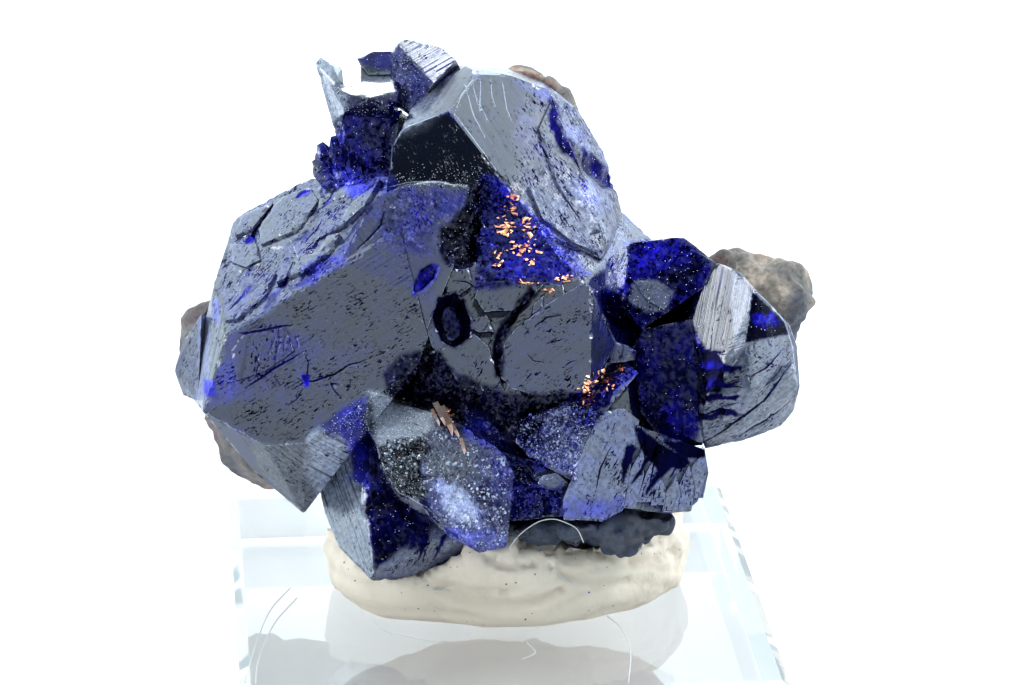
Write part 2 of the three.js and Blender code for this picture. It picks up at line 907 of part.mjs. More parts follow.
// The clear block has a narrow chamfer along every edge.
function acrylicBlock() {
  const half = blockSide / 2 - blockChamfer;
  const outline = new THREE.Shape()
    .moveTo(-half, -half)
    .lineTo(half, -half)
    .lineTo(half, half)
    .lineTo(-half, half)
    .closePath();
  return new THREE.ExtrudeGeometry(outline, {
    depth: blockHeight - 2 * blockChamfer,
    bevelEnabled: true,
    bevelThickness: blockChamfer,
    bevelSize: blockChamfer,
    bevelSegments: 1,
  }).translate(0, 0, blockChamfer);
}

function named(name, geometry, color, roughness) {
  const material = new THREE.MeshStandardMaterial({ color, roughness, metalness: 0 });
  const mesh = new THREE.Mesh(geometry, material);
  mesh.name = name;
  return mesh;
}

specimenFrame.add(
  named("azurite_crystals", geometryOf(azurite), 0x0b1560, 0.12),
  named("matrix_rock", geometryOf(rock), 0x6f6457, 0.9),
);

const specimen = new THREE.Group();
specimen.add(
  specimenFrame,
  named("mineral_tack", tackGeometry(), 0xe6e0d2, 0.6),
  named("acrylic_block", acrylicBlock(), 0xe8f2f2, 0.05),
);
export default specimen;
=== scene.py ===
# %% [markdown]
# # An azurite specimen on its display block
#
# Deep blue azurite crystals have grown together on a brown rock. A lump of white putty holds the
# rock on a clear acrylic block. The solids of all four are measured already. This script gives
# them their real surfaces: it nets each flat crystal face with small triangles, moves those into
# the steps, grooves, pits and chips that a real face has, and builds the finishes from nodes.

# %% Load the measured solids
import math

import bmesh
import bpy
import numpy as np
from mathutils import Matrix, Vector
from mathutils.bvhtree import BVHTree
from mathutils.geometry import delaunay_2d_cdt


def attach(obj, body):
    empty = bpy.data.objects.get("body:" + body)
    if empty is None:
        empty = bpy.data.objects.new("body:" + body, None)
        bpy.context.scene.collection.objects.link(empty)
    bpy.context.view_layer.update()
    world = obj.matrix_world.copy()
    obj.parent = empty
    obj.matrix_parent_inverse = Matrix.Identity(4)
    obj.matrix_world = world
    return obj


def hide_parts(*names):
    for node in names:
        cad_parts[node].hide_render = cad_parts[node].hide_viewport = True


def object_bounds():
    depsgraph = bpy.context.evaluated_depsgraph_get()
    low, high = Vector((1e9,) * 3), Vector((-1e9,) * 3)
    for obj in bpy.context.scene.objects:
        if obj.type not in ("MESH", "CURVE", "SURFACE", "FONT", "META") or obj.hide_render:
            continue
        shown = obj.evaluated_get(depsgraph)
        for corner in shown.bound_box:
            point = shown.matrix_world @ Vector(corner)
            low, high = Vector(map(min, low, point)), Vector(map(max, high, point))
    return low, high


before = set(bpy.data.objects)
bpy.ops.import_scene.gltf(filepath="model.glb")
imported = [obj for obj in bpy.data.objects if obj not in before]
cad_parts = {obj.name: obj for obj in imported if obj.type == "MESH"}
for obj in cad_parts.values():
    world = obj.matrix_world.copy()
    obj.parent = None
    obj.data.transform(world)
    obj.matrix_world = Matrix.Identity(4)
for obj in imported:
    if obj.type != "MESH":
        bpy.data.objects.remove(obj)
cad_low, cad_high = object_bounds()
print("solids' box in mm:", [round(v * 1000, 1) for v in (*cad_low, *cad_high)])

# %% [markdown]
# ## The specimen's own millimetres
#
# The specimen leans back on its block and turns a little. Its crystals are easier to describe as
# they are seen from the front, so we keep a frame of its own: x to the right, y away from the
# viewer, z up, in millimetres, with zero in the middle. Two matrices lead to it and back.

# %% The specimen's frame
MM = 0.001
specimen_middle = Vector((0.96, 0.0, 25.8)) * MM
specimen_lean = math.radians(-20)
specimen_turn = math.radians(-5)
specimen_axes = Matrix.Rotation(specimen_turn, 4, "Z") @ Matrix.Rotation(specimen_lean, 4, "X")
specimen_place = Matrix.Translation(specimen_middle) @ specimen_axes
to_world = specimen_place @ Matrix.Scale(MM, 4)
to_specimen = to_world.inverted()
print("specimen's middle in mm:", [round(v / MM, 1) for v in specimen_middle])

# %% [markdown]
# ## The camera
#
# The photograph was taken with a long lens from about 25 cm, so its lines hardly converge. We
# place the camera in the specimen's frame, straight in front of the middle, and work the lens out
# from how wide a strip of the specimen it takes in.

# %% The camera
camera_distance = 254.4
view_width = 61.44
sensor_width = 36
camera_data = bpy.data.cameras.new("camera")
camera_data.sensor_width = sensor_width
camera_data.lens = sensor_width * camera_distance / view_width
camera_data.clip_start = 0.01
camera = bpy.data.objects.new("camera", camera_data)
camera.matrix_world = (
    specimen_place
    @ Matrix.Translation((0, -camera_distance * MM, 0))
    @ Matrix.Rotation(math.radians(90), 4, "X")
)
bpy.context.scene.collection.objects.link(camera)
bpy.context.scene.camera = camera
print("lens in mm:", round(camera_data.lens, 1))


# %% [markdown]
# ## Nodes in short
#
# Every material below is a small net of nodes. Two helpers keep the nets readable: one makes a
# node, sets its plain values and links the sockets that it is given, and one starts a material
# with its Principled shader.

# %% Helpers for nodes
def add(tree, kind, inputs=None, **settings):
    """A new node with its settings. An input that is a socket is linked, and a value is set."""
    node = tree.nodes.new(kind)
    for name, value in settings.items():
        setattr(node, name, value)
    for name, value in (inputs or {}).items():
        if isinstance(value, bpy.types.NodeSocket):
            tree.links.new(value, node.inputs[name])
        else:
            node.inputs[name].default_value = value
    return node


def maths(tree, operation, first, second=0.0):
    """One sum on two numbers, kept between 0 and 1."""
    node = add(tree, "ShaderNodeMath", {0: first, 1: second}, operation=operation)
    node.use_clamp = True
    return node.outputs[0]


def signed_sum(tree, operation, first, second=0.0):
    """One sum on two numbers, which may also come out below 0 or above 1."""
    return add(tree, "ShaderNodeMath", {0: first, 1: second}, operation=operation).outputs[0]


def noise(tree, place, lumps=1.0, detail=2.0, roughness=0.5):
    """Smooth noise from 0 to 1, with so many lumps per unit of the place."""
    inputs = {"Vector": place, "Scale": lumps, "Detail": detail, "Roughness": roughness}
    return add(tree, "ShaderNodeTexNoise", inputs).outputs["Fac"]


def ramp(tree, value, low, high, to_low=0.0, to_high=1.0):
    """A smooth change from one value to another while the input goes from low to high."""
    node = add(
        tree,
        "ShaderNodeMapRange",
        {"Value": value, "From Min": low, "From Max": high, "To Min": to_low, "To Max": to_high},
        interpolation_type="SMOOTHSTEP",
    )
    return node.outputs["Result"]


def blend(tree, share, first, second):
    """A colour between two others."""
    node = add(tree, "ShaderNodeMix", data_type="RGBA")
    for socket, value in ((node.inputs[0], share), (node.inputs[6], first), (node.inputs[7], second)):
        if isinstance(value, bpy.types.NodeSocket):
            tree.links.new(value, socket)
        elif isinstance(value, tuple):
            socket.default_value = (*value, 1.0)
        else:
            socket.default_value = value
    return node.outputs[2]


def new_material(name):
    """A material with its Principled shader, its tree and the place on the object in metres."""
    material = bpy.data.materials.new(name)
    material.use_nodes = True
    tree = material.node_tree
    shader = tree.nodes["Principled BSDF"]
    place = add(tree, "ShaderNodeTexCoord").outputs["Object"]
    return material, tree, shader, place


def painted(tree, name):
    """A value that the mesh carries at its points."""
    return add(tree, "ShaderNodeAttribute", attribute_name=name).outputs["Fac"]


# %% [markdown]
# ## Light
#
# The photograph was lit in a white tent: white comes from everywhere, more from above, and the
# place where the camera looked in is dark. A glassy crystal face shows whatever it mirrors, so
# this darker opening matters: faces that look straight at it are nearly black. The world shader
# paints the tent by direction, and three soft boxes give the few faces that shine white.

# %% The white tent
scene = bpy.context.scene
scene.view_settings.view_transform = "Standard"
world = bpy.data.worlds.new("white_tent")
scene.world = world
world.use_nodes = True
tent = world.node_tree
tent.nodes.clear()
tent_direction = add(tent, "ShaderNodeTexCoord").outputs["Generated"]
opening_direction = (specimen_axes @ Vector((0, -1, 0))).normalized()
to_opening = add(
    tent, "ShaderNodeVectorMath", {0: tent_direction, 1: opening_direction}, operation="DOT_PRODUCT"
).outputs["Value"]
tent_front = 1.35
tent_behind = 3.1
opening_light = 0.024
front_edge = (math.cos(math.radians(66)), math.cos(math.radians(48)))
opening_edge = (math.cos(math.radians(27)), math.cos(math.radians(15)))
front_share = ramp(tent, to_opening, *front_edge, tent_behind, tent_front)
opening = ramp(tent, to_opening, *opening_edge, 1.0, opening_light)
brightness = signed_sum(tent, "MULTIPLY", front_share, opening)
light_path = add(tent, "ShaderNodeLightPath").outputs
lighting_share = 0.5
softened = ramp(tent, light_path["Is Diffuse Ray"], 0.0, 1.0, 1.0, lighting_share)
strength = signed_sum(tent, "MULTIPLY", brightness, softened)
mirrored = add(tent, "ShaderNodeBackground", {"Color": (0.83, 1.0, 1.08, 1.0), "Strength": strength})
backdrop = add(tent, "ShaderNodeBackground", {"Color": (0.99, 1.0, 1.0, 1.0), "Strength": 1.0})
choice = add(
    tent,
    "ShaderNodeMixShader",
    {0: light_path["Is Camera Ray"], 1: mirrored.outputs[0], 2: backdrop.outputs[0]},
)
add(tent, "ShaderNodeOutputWorld", {"Surface": choice.outputs[0]})


def soft_box(name, direction, width, brightness, distance=0.6):
    """A square light of a given brightness that looks at the specimen from a direction."""
    light = bpy.data.lights.new(name, "AREA")
    light.size = width
    light.energy = brightness * math.pi * width * width
    lamp = bpy.data.objects.new(name, light)
    toward = Vector(direction).normalized()
    lamp.matrix_world = Matrix.Translation(specimen_middle + toward * distance) @ (
        toward.to_track_quat("Z", "Y").to_matrix().to_4x4()
    )
    scene.collection.objects.link(lamp)


soft_box("top_box", (-0.04, 0.76, 0.65), 0.17, 10)
soft_box("right_box", (0.73, 0.13, 0.67), 0.27, 9)
soft_box("left_box", (-0.87, -0.20, 0.46), 0.19, 7)
print("soft boxes:", len(bpy.data.lights))

# %% The floor
floor_size = 3.0
floor_height = -0.1 * MM
floor_mesh = bpy.data.meshes.new("floor")
half_floor = floor_size / 2
floor_sides = ((-1, -1), (1, -1), (1, 1), (-1, 1))
floor_corners = [(x * half_floor, y * half_floor, floor_height) for x, y in floor_sides]
floor_mesh.from_pydata(floor_corners, [], [(0, 1, 2, 3)])
floor = bpy.data.objects.new("floor", floor_mesh)
scene.collection.objects.link(floor)
floor_material, tree, shader, place = new_material("white_paper")
shader.inputs["Base Color"].default_value = (0.86, 0.87, 0.88, 1.0)
shader.inputs["Roughness"].default_value = 0.9
shader.inputs["Specular IOR Level"].default_value = 0.1
floor_mesh.materials.append(floor_material)
print("floor in m:", floor_size)


# %% [markdown]
# ## Noise in the mesh
#
# A crystal face is shaped by noise of several kinds, and all of it has to come out the same each
# time. So we make our own: a random number for every cell of a lattice, smooth noise between
# those numbers, and a faceted noise in which each cell is a small plane with a tilt of its own,
# as in a crust of tiny crystals.

# %% Repeatable noise
def cell_random(cell, seed):
    """A random number from 0 to 1 for each cell of a lattice."""
    x, y, z = (cell[..., axis].astype(np.int64) for axis in range(3))
    mixed = (x * 374761393 + y * 668265263 + z * 1440662683 + seed * 974711) & 0xFFFFFFFF
    mixed = ((mixed ^ (mixed >> 13)) * 1274126177) & 0xFFFFFFFF
    mixed = ((mixed ^ (mixed >> 16)) * 362437) & 0xFFFFFFFF
    return (mixed ^ (mixed >> 15)) / 0xFFFFFFFF


CORNERS = np.array([(x, y, z) for x in (0, 1) for y in (0, 1) for z in (0, 1)])
NEIGHBOURS = np.array([(x, y, z) for x in (-1, 0, 1) for y in (-1, 0, 1) for z in (-1, 0, 1)])


def soft_noise(points, size, seed):
    """Smooth noise from 0 to 1 with lumps of a size."""
    spot = points / size
    cell = np.floor(spot)
    part = spot - cell
    part = part * part * (3 - 2 * part)
    total = np.zeros(len(points))
    for corner in CORNERS:
        weight = np.prod(np.where(corner, part, 1 - part), axis=1)
        total += weight * cell_random(cell + corner, seed)
    return total


def swelling(points, size, seed):
    """Smooth noise around zero, from -0.5 to 0.5."""
    return soft_noise(points, size, seed) - 0.5


def faceted_noise(points, size, seed):
    """The height on small planes, each with a tilt of its own."""
    spot = points / size
    cell = np.floor(spot)
    best = np.full(len(points), 9.0)
    height = np.zeros(len(points))
    for step in NEIGHBOURS:
        near = cell + step
        shift = np.stack([cell_random(near, seed + k) for k in range(3)], axis=1)
        offset = spot - (near + shift)
        distance = np.linalg.norm(offset, axis=1)
        closer = distance < best
        tilt = np.stack([cell_random(near, seed + 3 + k) - 0.5 for k in range(3)], axis=1)
        best = np.where(closer, distance, best)
        height = np.where(closer, (offset * tilt).sum(1) * 2, height)
    return height * size


def smooth(value):
    """0 below 0, 1 above 1, and a smooth change between."""
    held = np.clip(value, 0, 1)
    return held * held * (3 - 2 * held)


# %% [markdown]
# ## Netting the flat faces
#
# The solids have large flat faces with only a few corners. To give a face relief it needs many
# small triangles. Blender can subdivide, but that makes slivers on such long, uneven faces. We
# drop an even net of points on each face instead and let Blender's Delaunay function join them.
# Neighbouring faces divide their common edge in the same way, so the skin stays closed.

# %% Net a face
def inside_and_distance(points, ring):
    """For each point, whether it is inside a ring, and how far it is from it."""
    start = np.asarray(ring, float)
    side = np.roll(start, -1, axis=0) - start
    inside = np.zeros(len(points), bool)
    distance = np.full(len(points), 1e9)
    for corner, step in zip(start, side):
        offset = points - corner
        along = np.clip(offset @ step / max(step @ step, 1e-12), 0, 1)
        distance = np.minimum(distance, np.linalg.norm(offset - along[:, None] * step, axis=1))
        crosses = (corner[1] > points[:, 1]) != (corner[1] + step[1] > points[:, 1])
        if abs(step[1]) > 1e-12:
            at = corner[0] + (points[:, 1] - corner[1]) * step[0] / step[1]
            inside ^= crosses & (points[:, 0] < at)
    return inside, distance


def net_points(ring, spacing, random):
    """An even, slightly shaken net of points inside a ring, clear of its edge."""
    low, high = ring.min(0), ring.max(0)
    rows = int((high[1] - low[1]) / (spacing * 0.866)) + 1
    columns = int((high[0] - low[0]) / spacing) + 2
    row, column = np.meshgrid(np.arange(rows), np.arange(columns), indexing="ij")
    across = low[0] + (column + 0.5 * (row % 2)) * spacing
    up = low[1] + (row + 0.5) * spacing * 0.866
    points = np.stack([across.ravel(), up.ravel()], axis=1)
    points += random.uniform(-0.22, 0.22, points.shape) * spacing
    inside, distance = inside_and_distance(points, ring)
    return points[inside & (distance > 0.5 * spacing)]


def flat_faces(node):
    """A solid's flat faces, in the specimen's frame."""
    solid = bmesh.new()
    solid.from_mesh(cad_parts[node].data)
    bmesh.ops.transform(solid, matrix=to_specimen, verts=solid.verts)
    bmesh.ops.remove_doubles(solid, verts=solid.verts, dist=0.003)
    bmesh.ops.dissolve_limit(
        solid, angle_limit=math.radians(0.4), verts=solid.verts, edges=solid.edges
    )
    solid.faces.index_update()
    return solid


def ridge_of(edge):
    """How sharply an edge stands out, from -1 in a deep corner to 1 on a sharp ridge."""
    angle = edge.calc_face_angle_signed(0.0)
    return float(np.clip(angle / math.radians(50), -1, 1))


def netted(solid, spacing_of):
    """Nets each flat face with small triangles. Returns the points, the triangles, the face of
    each point, the face of each triangle and how far each point is on a ridge."""
    random = np.random.default_rng(7)
    spacing = {face: spacing_of(face) for face in solid.faces}
    stretches = {}
    for edge in solid.edges:
        step = min(spacing[face] for face in edge.link_faces)
        count = max(1, round(edge.calc_length() / step))
        start, end = (vert.co for vert in edge.verts)
        stretches[edge] = [start.lerp(end, part / count) for part in range(count + 1)]
    points, triangles, point_faces, triangle_faces, ridges, total = [], [], [], [], [], 0
    for number, face in enumerate(solid.faces):
        ring = []
        ring_ridge = []
        for loop in face.loops:
            stretch = stretches[loop.edge]
            forward = loop.edge.verts[0] == loop.vert
            ring.extend((stretch if forward else stretch[::-1])[:-1])
            ring_ridge.extend([ridge_of(loop.edge)] * (len(stretch) - 1))
        right = face.normal.orthogonal().normalized()
        axes = np.array([right, face.normal.cross(right)])
        ring = np.array([tuple(spot) for spot in ring])
        flat_ring = (ring - ring[0]) @ axes.T
        filling = net_points(flat_ring, spacing[face], random)
        flat = np.concatenate([flat_ring, filling])
        delaunay = delaunay_2d_cdt(
            [Vector(spot) for spot in flat], [], [list(range(len(ring)))], 1, 1e-6
        )
        corners = np.array([tuple(spot) for spot in delaunay[0]])
        placed = ring[0] + corners @ axes
        ridge = np.zeros(len(corners))
        for index, sources in enumerate(delaunay[3]):
            on_ring = [source for source in sources if source < len(ring)]
            if on_ring:
                placed[index] = ring[on_ring[0]]
                ridge[index] = max((ring_ridge[source] for source in on_ring), key=abs)
        points.append(placed)
        ridges.append(ridge)
        triangles.append(np.array(delaunay[2]) + total)
        point_faces.append(np.full(len(corners), number))
        triangle_faces.append(np.full(len(delaunay[2]), number))
        total += len(corners)
    return tuple(
        np.concatenate(part) for part in (points, triangles, point_faces, triangle_faces, ridges)
    )


def welded(points, triangles, point_faces, triangle_faces, ridges, face_normals):
    """Joins the points that neighbouring faces share. Each keeps the mean of their normals."""
    keys = np.round(points / 0.003).astype(np.int64)
    unique, first, back = np.unique(keys, axis=0, return_index=True, return_inverse=True)
    back = back.ravel()
    normals = np.zeros((len(unique), 3))
    np.add.at(normals, back, face_normals[point_faces])
    normals /= np.maximum(np.linalg.norm(normals, axis=1), 1e-9)[:, None]
    highest = np.zeros(len(unique))
    lowest = np.zeros(len(unique))
    np.maximum.at(highest, back, ridges)
    np.minimum.at(lowest, back, ridges)
    triangles = back[triangles]
    whole = (
        (triangles[:, 0] != triangles[:, 1])
        & (triangles[:, 1] != triangles[:, 2])
        & (triangles[:, 0] != triangles[:, 2])
    )
    ridge = np.where(highest > -lowest, highest, lowest)
    return points[first], triangles[whole], normals, triangle_faces[whole], ridge


def seen_from_front(points):
    """Where points are seen, in millimetres across and up, on a plane through the middle."""
    scale = camera_distance / (camera_distance + points[:, 1])
    return points[:, [0, 2]] * scale[:, None]


def moved(points, matrix):
    """Points after a matrix."""
    homogeneous = np.concatenate([points, np.ones((len(points), 1))], axis=1)
    return (homogeneous @ np.array(matrix).T)[:, :3]


def held_in_box(points):
    """Keeps points in the specimen's frame inside the solids' box in the world."""
    held = np.clip(moved(points, to_world), np.array(cad_low), np.array(cad_high))
    return moved(held, to_specimen)


def joined(parts):
    """The points and triangles of several parts as one."""
    starts = np.cumsum([0] + [len(points) for points, triangles in parts])
    points = np.concatenate([points for points, triangles in parts])
    triangles = np.concatenate([part[1] + start for part, start in zip(parts, starts)])
    return points, triangles


def new_piece(name, points, triangles, material, flat=False):
    """A mesh object from points in the specimen's frame. Flat can differ for each triangle."""
    mesh = bpy.data.meshes.new(name)
    mesh.from_pydata(moved(points, to_world).tolist(), [], triangles.tolist())
    mesh.materials.append(material)
    mesh.polygons.foreach_set("use_smooth", ~np.broadcast_to(flat, len(triangles)))
    piece = bpy.data.objects.new(name, mesh)
    scene.collection.objects.link(piece)
    return piece


def paint(piece, name, values):
    """Stores a value at each point of a mesh, for its material to read."""
    layer = piece.data.attributes.new(name, "FLOAT", "POINT")
    layer.data.foreach_set("value", np.asarray(values, np.float32))


# %% Net the azurite
front_spacing, side_spacing, back_spacing = 0.145, 0.19, 0.36


def azurite_spacing(face):
    """Fine in front, where the display side is, and coarser behind."""
    if face.normal.y < -0.25:
        return front_spacing
    return side_spacing if face.normal.y < 0.2 else back_spacing


azurite_solid = flat_faces("azurite_crystals")
face_normals = np.array([tuple(face.normal) for face in azurite_solid.faces])
face_middles = np.array([tuple(face.calc_center_median()) for face in azurite_solid.faces])
net = netted(azurite_solid, azurite_spacing)
azurite_points, azurite_triangles, azurite_normals, azurite_faces, ridge = welded(*net, face_normals)
print("azurite net:", len(azurite_points), "points,", len(azurite_triangles), "triangles")

# %% [markdown]
# ## The grain of the faces
#
# Growth leaves fine parallel lines, called striae, on a crystal's faces. Their direction follows
# the crystal, so each crystal and each kind of face has its own. We name one spot on each main
# face with the angle of its lines as seen from the front, and every small face takes the lines of
# the nearest spot. The lines run in the plane of the face, so we turn each angle into a direction
# in that plane.

# %% The direction of the striae
grain_spots = {
    "main front": ((-11.0, 1.3), 32),
    "main front, right": ((-6.5, 2.0), 38),
    "main bevel": ((-14.5, 4.5), 52),
    "main bevel, top": ((-10.5, 8.0), 48),
    "main shoulder": ((-4.5, 7.5), -52),
    "left sliver": ((-18.3, -1.0), 78),
    "left foot of main": ((-13.3, -8.0), -38),
    "small left crystal": ((-19.4, -0.8), 60),
    "top front": ((0.5, 13.3), -74),
    "top right": ((4.5, 11.5), -58),
    "top left": ((-4.9, 14.5), 58),
    "top black face": ((-4.3, 11.5), -60),
    "upper striated face": ((-4.9, 17.0), 33),
    "upper blue side": ((-6.4, 15.7), 33),
    "upper white face": ((-9.0, 15.6), 10),
    "upper pale crystal": ((-10.9, 14.5), -75),
    "central front": ((2.3, -0.5), 38),
    "central plates": ((-2.0, 0.5), 60),
    "central flank": ((5.9, 0.2), 78),
    "right white face": ((12.8, 1.9), 79),
    "right front": ((13.8, -1.7), 20),
    "right bands": ((15.0, -4.0), 40),
    "right shoulder": ((8.5, 3.5), 70),
    "right hollow": ((9.4, -2.5), 75),
    "lower left side": ((-10.3, -9.5), -70),
    "lower left foot": ((-5.5, -13.0), 60),
    "frosted top": ((-6.6, -4.8), -30),
    "frosted body": ((-2.6, -8.8), -65),
    "lower right face": ((6.5, -7.0), 62),
    "lower right fingers": ((10.3, -8.0), 68),
}
spot_places = np.array([place for place, turn in grain_spots.values()])
spot_turns = np.radians([turn for place, turn in grain_spots.values()])
face_seen = seen_from_front(face_middles)
spot_of_face = np.linalg.norm(face_seen[:, None] - spot_places, axis=2).argmin(1)
face_turn = spot_turns[spot_of_face]
across, up = np.cos(face_turn), np.sin(face_turn)
depth = face_normals[:, 1]
least_depth = 0.15
pushed = least_depth * np.sign(depth + 1e-6)
toward_back = np.where(np.abs(depth) < least_depth, pushed, depth)
slope = -(across * face_normals[:, 0] + up * face_normals[:, 2]) / toward_back
along_face = np.stack([across, slope, up], axis=1)
along_face /= np.linalg.norm(along_face, axis=1)[:, None]
over_face = np.cross(face_normals, along_face)
print("faces:", len(face_normals), "grain spots:", len(grain_spots))

# %% [markdown]
# ## Where each finish is
#
# One specimen has many finishes: stepped faces, striated faces, crusts of tiny dark crystals and
# frosted patches. A geologist would sketch a map of them, and so do we. Each area is an outline
# in millimetres as seen from the front, with soft, uneven borders, and says what it changes:
#
# - blue: how much of the vivid blue shines through, and dark: painted shade, how much of the
#   mirror is taken away in recesses, gaps, pits and under overhangs
# - haze: pale scattering on frosted places, and painted light on faces that shine paler,
#   rough: dullness, glitter: the tilt of tiny faces, dust: white specks
# - striae: lines of growth, etch: small broken marks, steps: overlapping layers
# - crust: a crust of tiny crystals, frost: needles
# - sink: how deep the place lies, and raised: how high it stands, both in millimetres

# %% The untouched face
plain_face = {
    "blue": 0.08, "dark": 0.0, "haze": 0.0, "rough": 0.1, "glitter": 0.0, "dust": 0.0,
    "striae": 0.1, "etch": 0.25, "steps": 0.0, "crust": 0.0, "frost": 0.0, "sink": 0.0,
    "raised": 0.0,
}
areas = []


def area(name, outline, soft=0.15, ragged=0.3, **changes):
    """Adds an area to the map. A later one lies over the earlier ones."""
    areas.append((name, outline, soft, ragged, changes))


# %% The main crystal on the map
area("main front", [
    (-17.0, 0.5), (-6.6, 6.6), (-4.9, -0.4), (-6.7, -0.6), (-7.7, -1.6), (-7.6, -3.0), (-10.3, -3.8),
    (-12.0, -4.5), (-12.0, -6.0), (-14.5, -6.1), (-18.4, -4.0),
], blue=0.03, etch=0.8)
area("main front, bluish", [(-11.8, 1.0), (-9.0, -1.0), (-11.5, -3.5), (-16.5, -3.0), (-14.5, -1.5)],
     soft=1.2, ragged=1.5, blue=0.09)
area("main front, left", [
    (-17.0, 0.8), (-16.3, 1.0), (-16.0, -0.1), (-16.3, -1.9), (-16.0, -3.1), (-17.0, -3.4),
    (-18.4, -3.9), (-18.0, -1.6), (-17.4, -0.1),
], soft=0.6, ragged=0.6, blue=0.34, etch=0.7)
area("main front, weathered", [
    (-16.1, 1.1), (-13.6, 1.2), (-12.4, 0.4), (-12.0, -0.4), (-13.3, -1.2), (-15.7, -2.5),
    (-16.4, -3.1), (-16.3, -0.4),
], soft=0.5, ragged=0.9, blue=0.12, etch=0.85, dark=0.12, striae=0.6)
area("main front, fan", [
    (-14.2, 0.8), (-13.0, 0.7), (-12.5, -0.3), (-13.3, -0.9), (-14.6, -1.3), (-15.0, -0.7),
], soft=0.12, ragged=0.2, blue=0.16, dark=0.25, etch=0.35)
area("main front, blue spot", [(-12.6, -1.9), (-12.1, -1.9), (-12.15, -2.6), (-12.45, -2.7)],
     soft=0.06, ragged=0.1, blue=1.0, dark=1.2)
area("main bevel", [
    (-17.0, 0.5), (-17.8, 3.6), (-17.2, 6.1), (-16.8, 7.9), (-14.2, 9.2), (-12.1, 10.3), (-7.0, 10.0),
    (-8.2, 8.5), (-9.1, 7.0), (-10.0, 4.9), (-12.7, 3.2), (-14.8, 1.7),
], blue=0.17, etch=0.75, steps=0.4, haze=0.08, rough=0.14, striae=0.2, glitter=0.05, dust=0.05)
bevel_plates = [
    [(-11.7, 5.4), (-10.7, 6.6), (-9.7, 8.2), (-8.8, 9.1), (-7.9, 9.5), (-8.0, 8.9), (-8.6, 7.8),
     (-9.6, 6.9), (-10.9, 5.9)],
    [(-13.3, 5.2), (-11.5, 5.4), (-9.9, 5.9), (-10.9, 4.8), (-12.6, 4.1), (-13.5, 3.4)],
    [(-14.2, 8.5), (-12.3, 9.1), (-11.3, 9.3), (-11.3, 8.3), (-12.5, 6.4), (-13.7, 5.6), (-15.1, 5.4),
     (-15.4, 6.4)],
    [(-16.6, 7.4), (-14.5, 8.3), (-15.9, 6.3), (-16.9, 6.3)],
    [(-16.9, 5.8), (-15.4, 6.0), (-14.5, 5.3), (-14.9, 4.6), (-16.7, 4.3)],
    [(-10.6, 9.4), (-8.9, 9.9), (-8.6, 9.4), (-10.1, 8.7), (-11.0, 8.5)],
]
bevel_streaks = [
    [(-16.3, 3.8), (-15.6, 4.2), (-15.2, 5.0), (-15.8, 4.6)],
    [(-16.4, 2.7), (-15.8, 2.9), (-15.4, 3.5), (-16.0, 3.3)],
    [(-15.1, 1.9), (-14.3, 2.3), (-13.9, 3.3), (-14.7, 2.8)],
    [(-13.2, 6.0), (-12.5, 6.2), (-11.9, 6.9), (-12.6, 6.6)],
    [(-12.4, 7.3), (-11.9, 7.5), (-11.5, 8.2), (-12.0, 7.9)],
    [(-9.9, 8.5), (-9.3, 8.7), (-8.9, 9.3), (-9.5, 9.0)],
]
for streak in bevel_streaks:
    area("main bevel, streak", streak, soft=0.1, ragged=0.5, blue=0.35, dark=0.75, etch=0.5)
for plate in bevel_plates:
    area("main bevel, plate", plate, soft=0.07, ragged=0.25, blue=0.09, etch=0.4, steps=0.0, haze=0.1,
         raised=0.12)
area("main bevel, dark lens", [(-12.9, 8.5), (-12.2, 8.7), (-11.8, 9.1), (-12.4, 9.1)],
     soft=0.1, blue=0.4, dark=0.75)
area("main bevel, dark corner", [(-16.2, 5.9), (-15.5, 6.1), (-15.2, 6.7), (-15.7, 6.4)],
     soft=0.1, blue=0.4, dark=0.8)
area("main bevel, dark notch", [(-14.2, 3.2), (-13.6, 3.4), (-13.2, 4.6), (-13.7, 3.8)],
     soft=0.1, blue=0.3, dark=0.85)
area("main bevel, upper pit", [(-11.5, 8.1), (-10.9, 8.2), (-10.5, 8.9), (-11.1, 8.5)],
     soft=0.1, blue=0.5, dark=0.7)
area("main bevel, striped groove", [
    (-8.3, 8.4), (-7.4, 9.0), (-8.8, 6.4), (-10.2, 4.6), (-11.1, 4.2), (-9.8, 6.4),
], blue=0.3, dark=0.45, striae=1.0, etch=0.5)
area("main bevel, lower groove", [(-13.6, 3.2), (-12.2, 3.4), (-10.2, 5.0), (-11.4, 5.2), (-13.0, 3.9)],
     blue=0.6, dark=0.75, etch=0.9, ragged=0.6, soft=0.25)
area("main shoulder", [
    (-10.0, 4.8), (-8.4, 8.2), (-7.0, 9.3), (-4.9, 9.6), (-2.5, 9.3), (-2.0, 7.6), (-4.0, 4.8),
    (-4.9, 2.5),
], blue=0.1, dark=0.15, etch=0.6, striae=0.6)
area("main shoulder, patches", [
    (-6.8, 9.2), (-2.5, 9.2), (-2.3, 7.8), (-4.3, 7.0), (-5.2, 5.5), (-7.0, 5.5), (-8.2, 6.5),
    (-8.4, 7.6),
], soft=0.5, ragged=1.0, blue=0.22, dark=0.72, haze=0.06, etch=0.9, glitter=0.35)
area("left sliver", [
    (-17.8, 3.6), (-17.9, 2.5), (-18.4, 0.4), (-18.7, -1.1), (-19.0, -3.8), (-18.4, -3.8), (-17.0, 0.4),
    (-17.2, 2.5),
], blue=0.04, haze=0.06, striae=0.6, etch=0.5)
area("left gap", [(-18.9, 1.9), (-18.1, 1.9), (-18.1, -3.6), (-19.0, -3.4)],
     blue=0.2, haze=0.25, striae=0.6, rough=0.5)
area("small left crystal", [(-18.8, 1.4), (-19.4, 0.4), (-20.1, -1.6), (-19.6, -3.3), (-18.9, -3.4)],
     soft=0.2, haze=0.09, striae=0.3, etch=0.4)
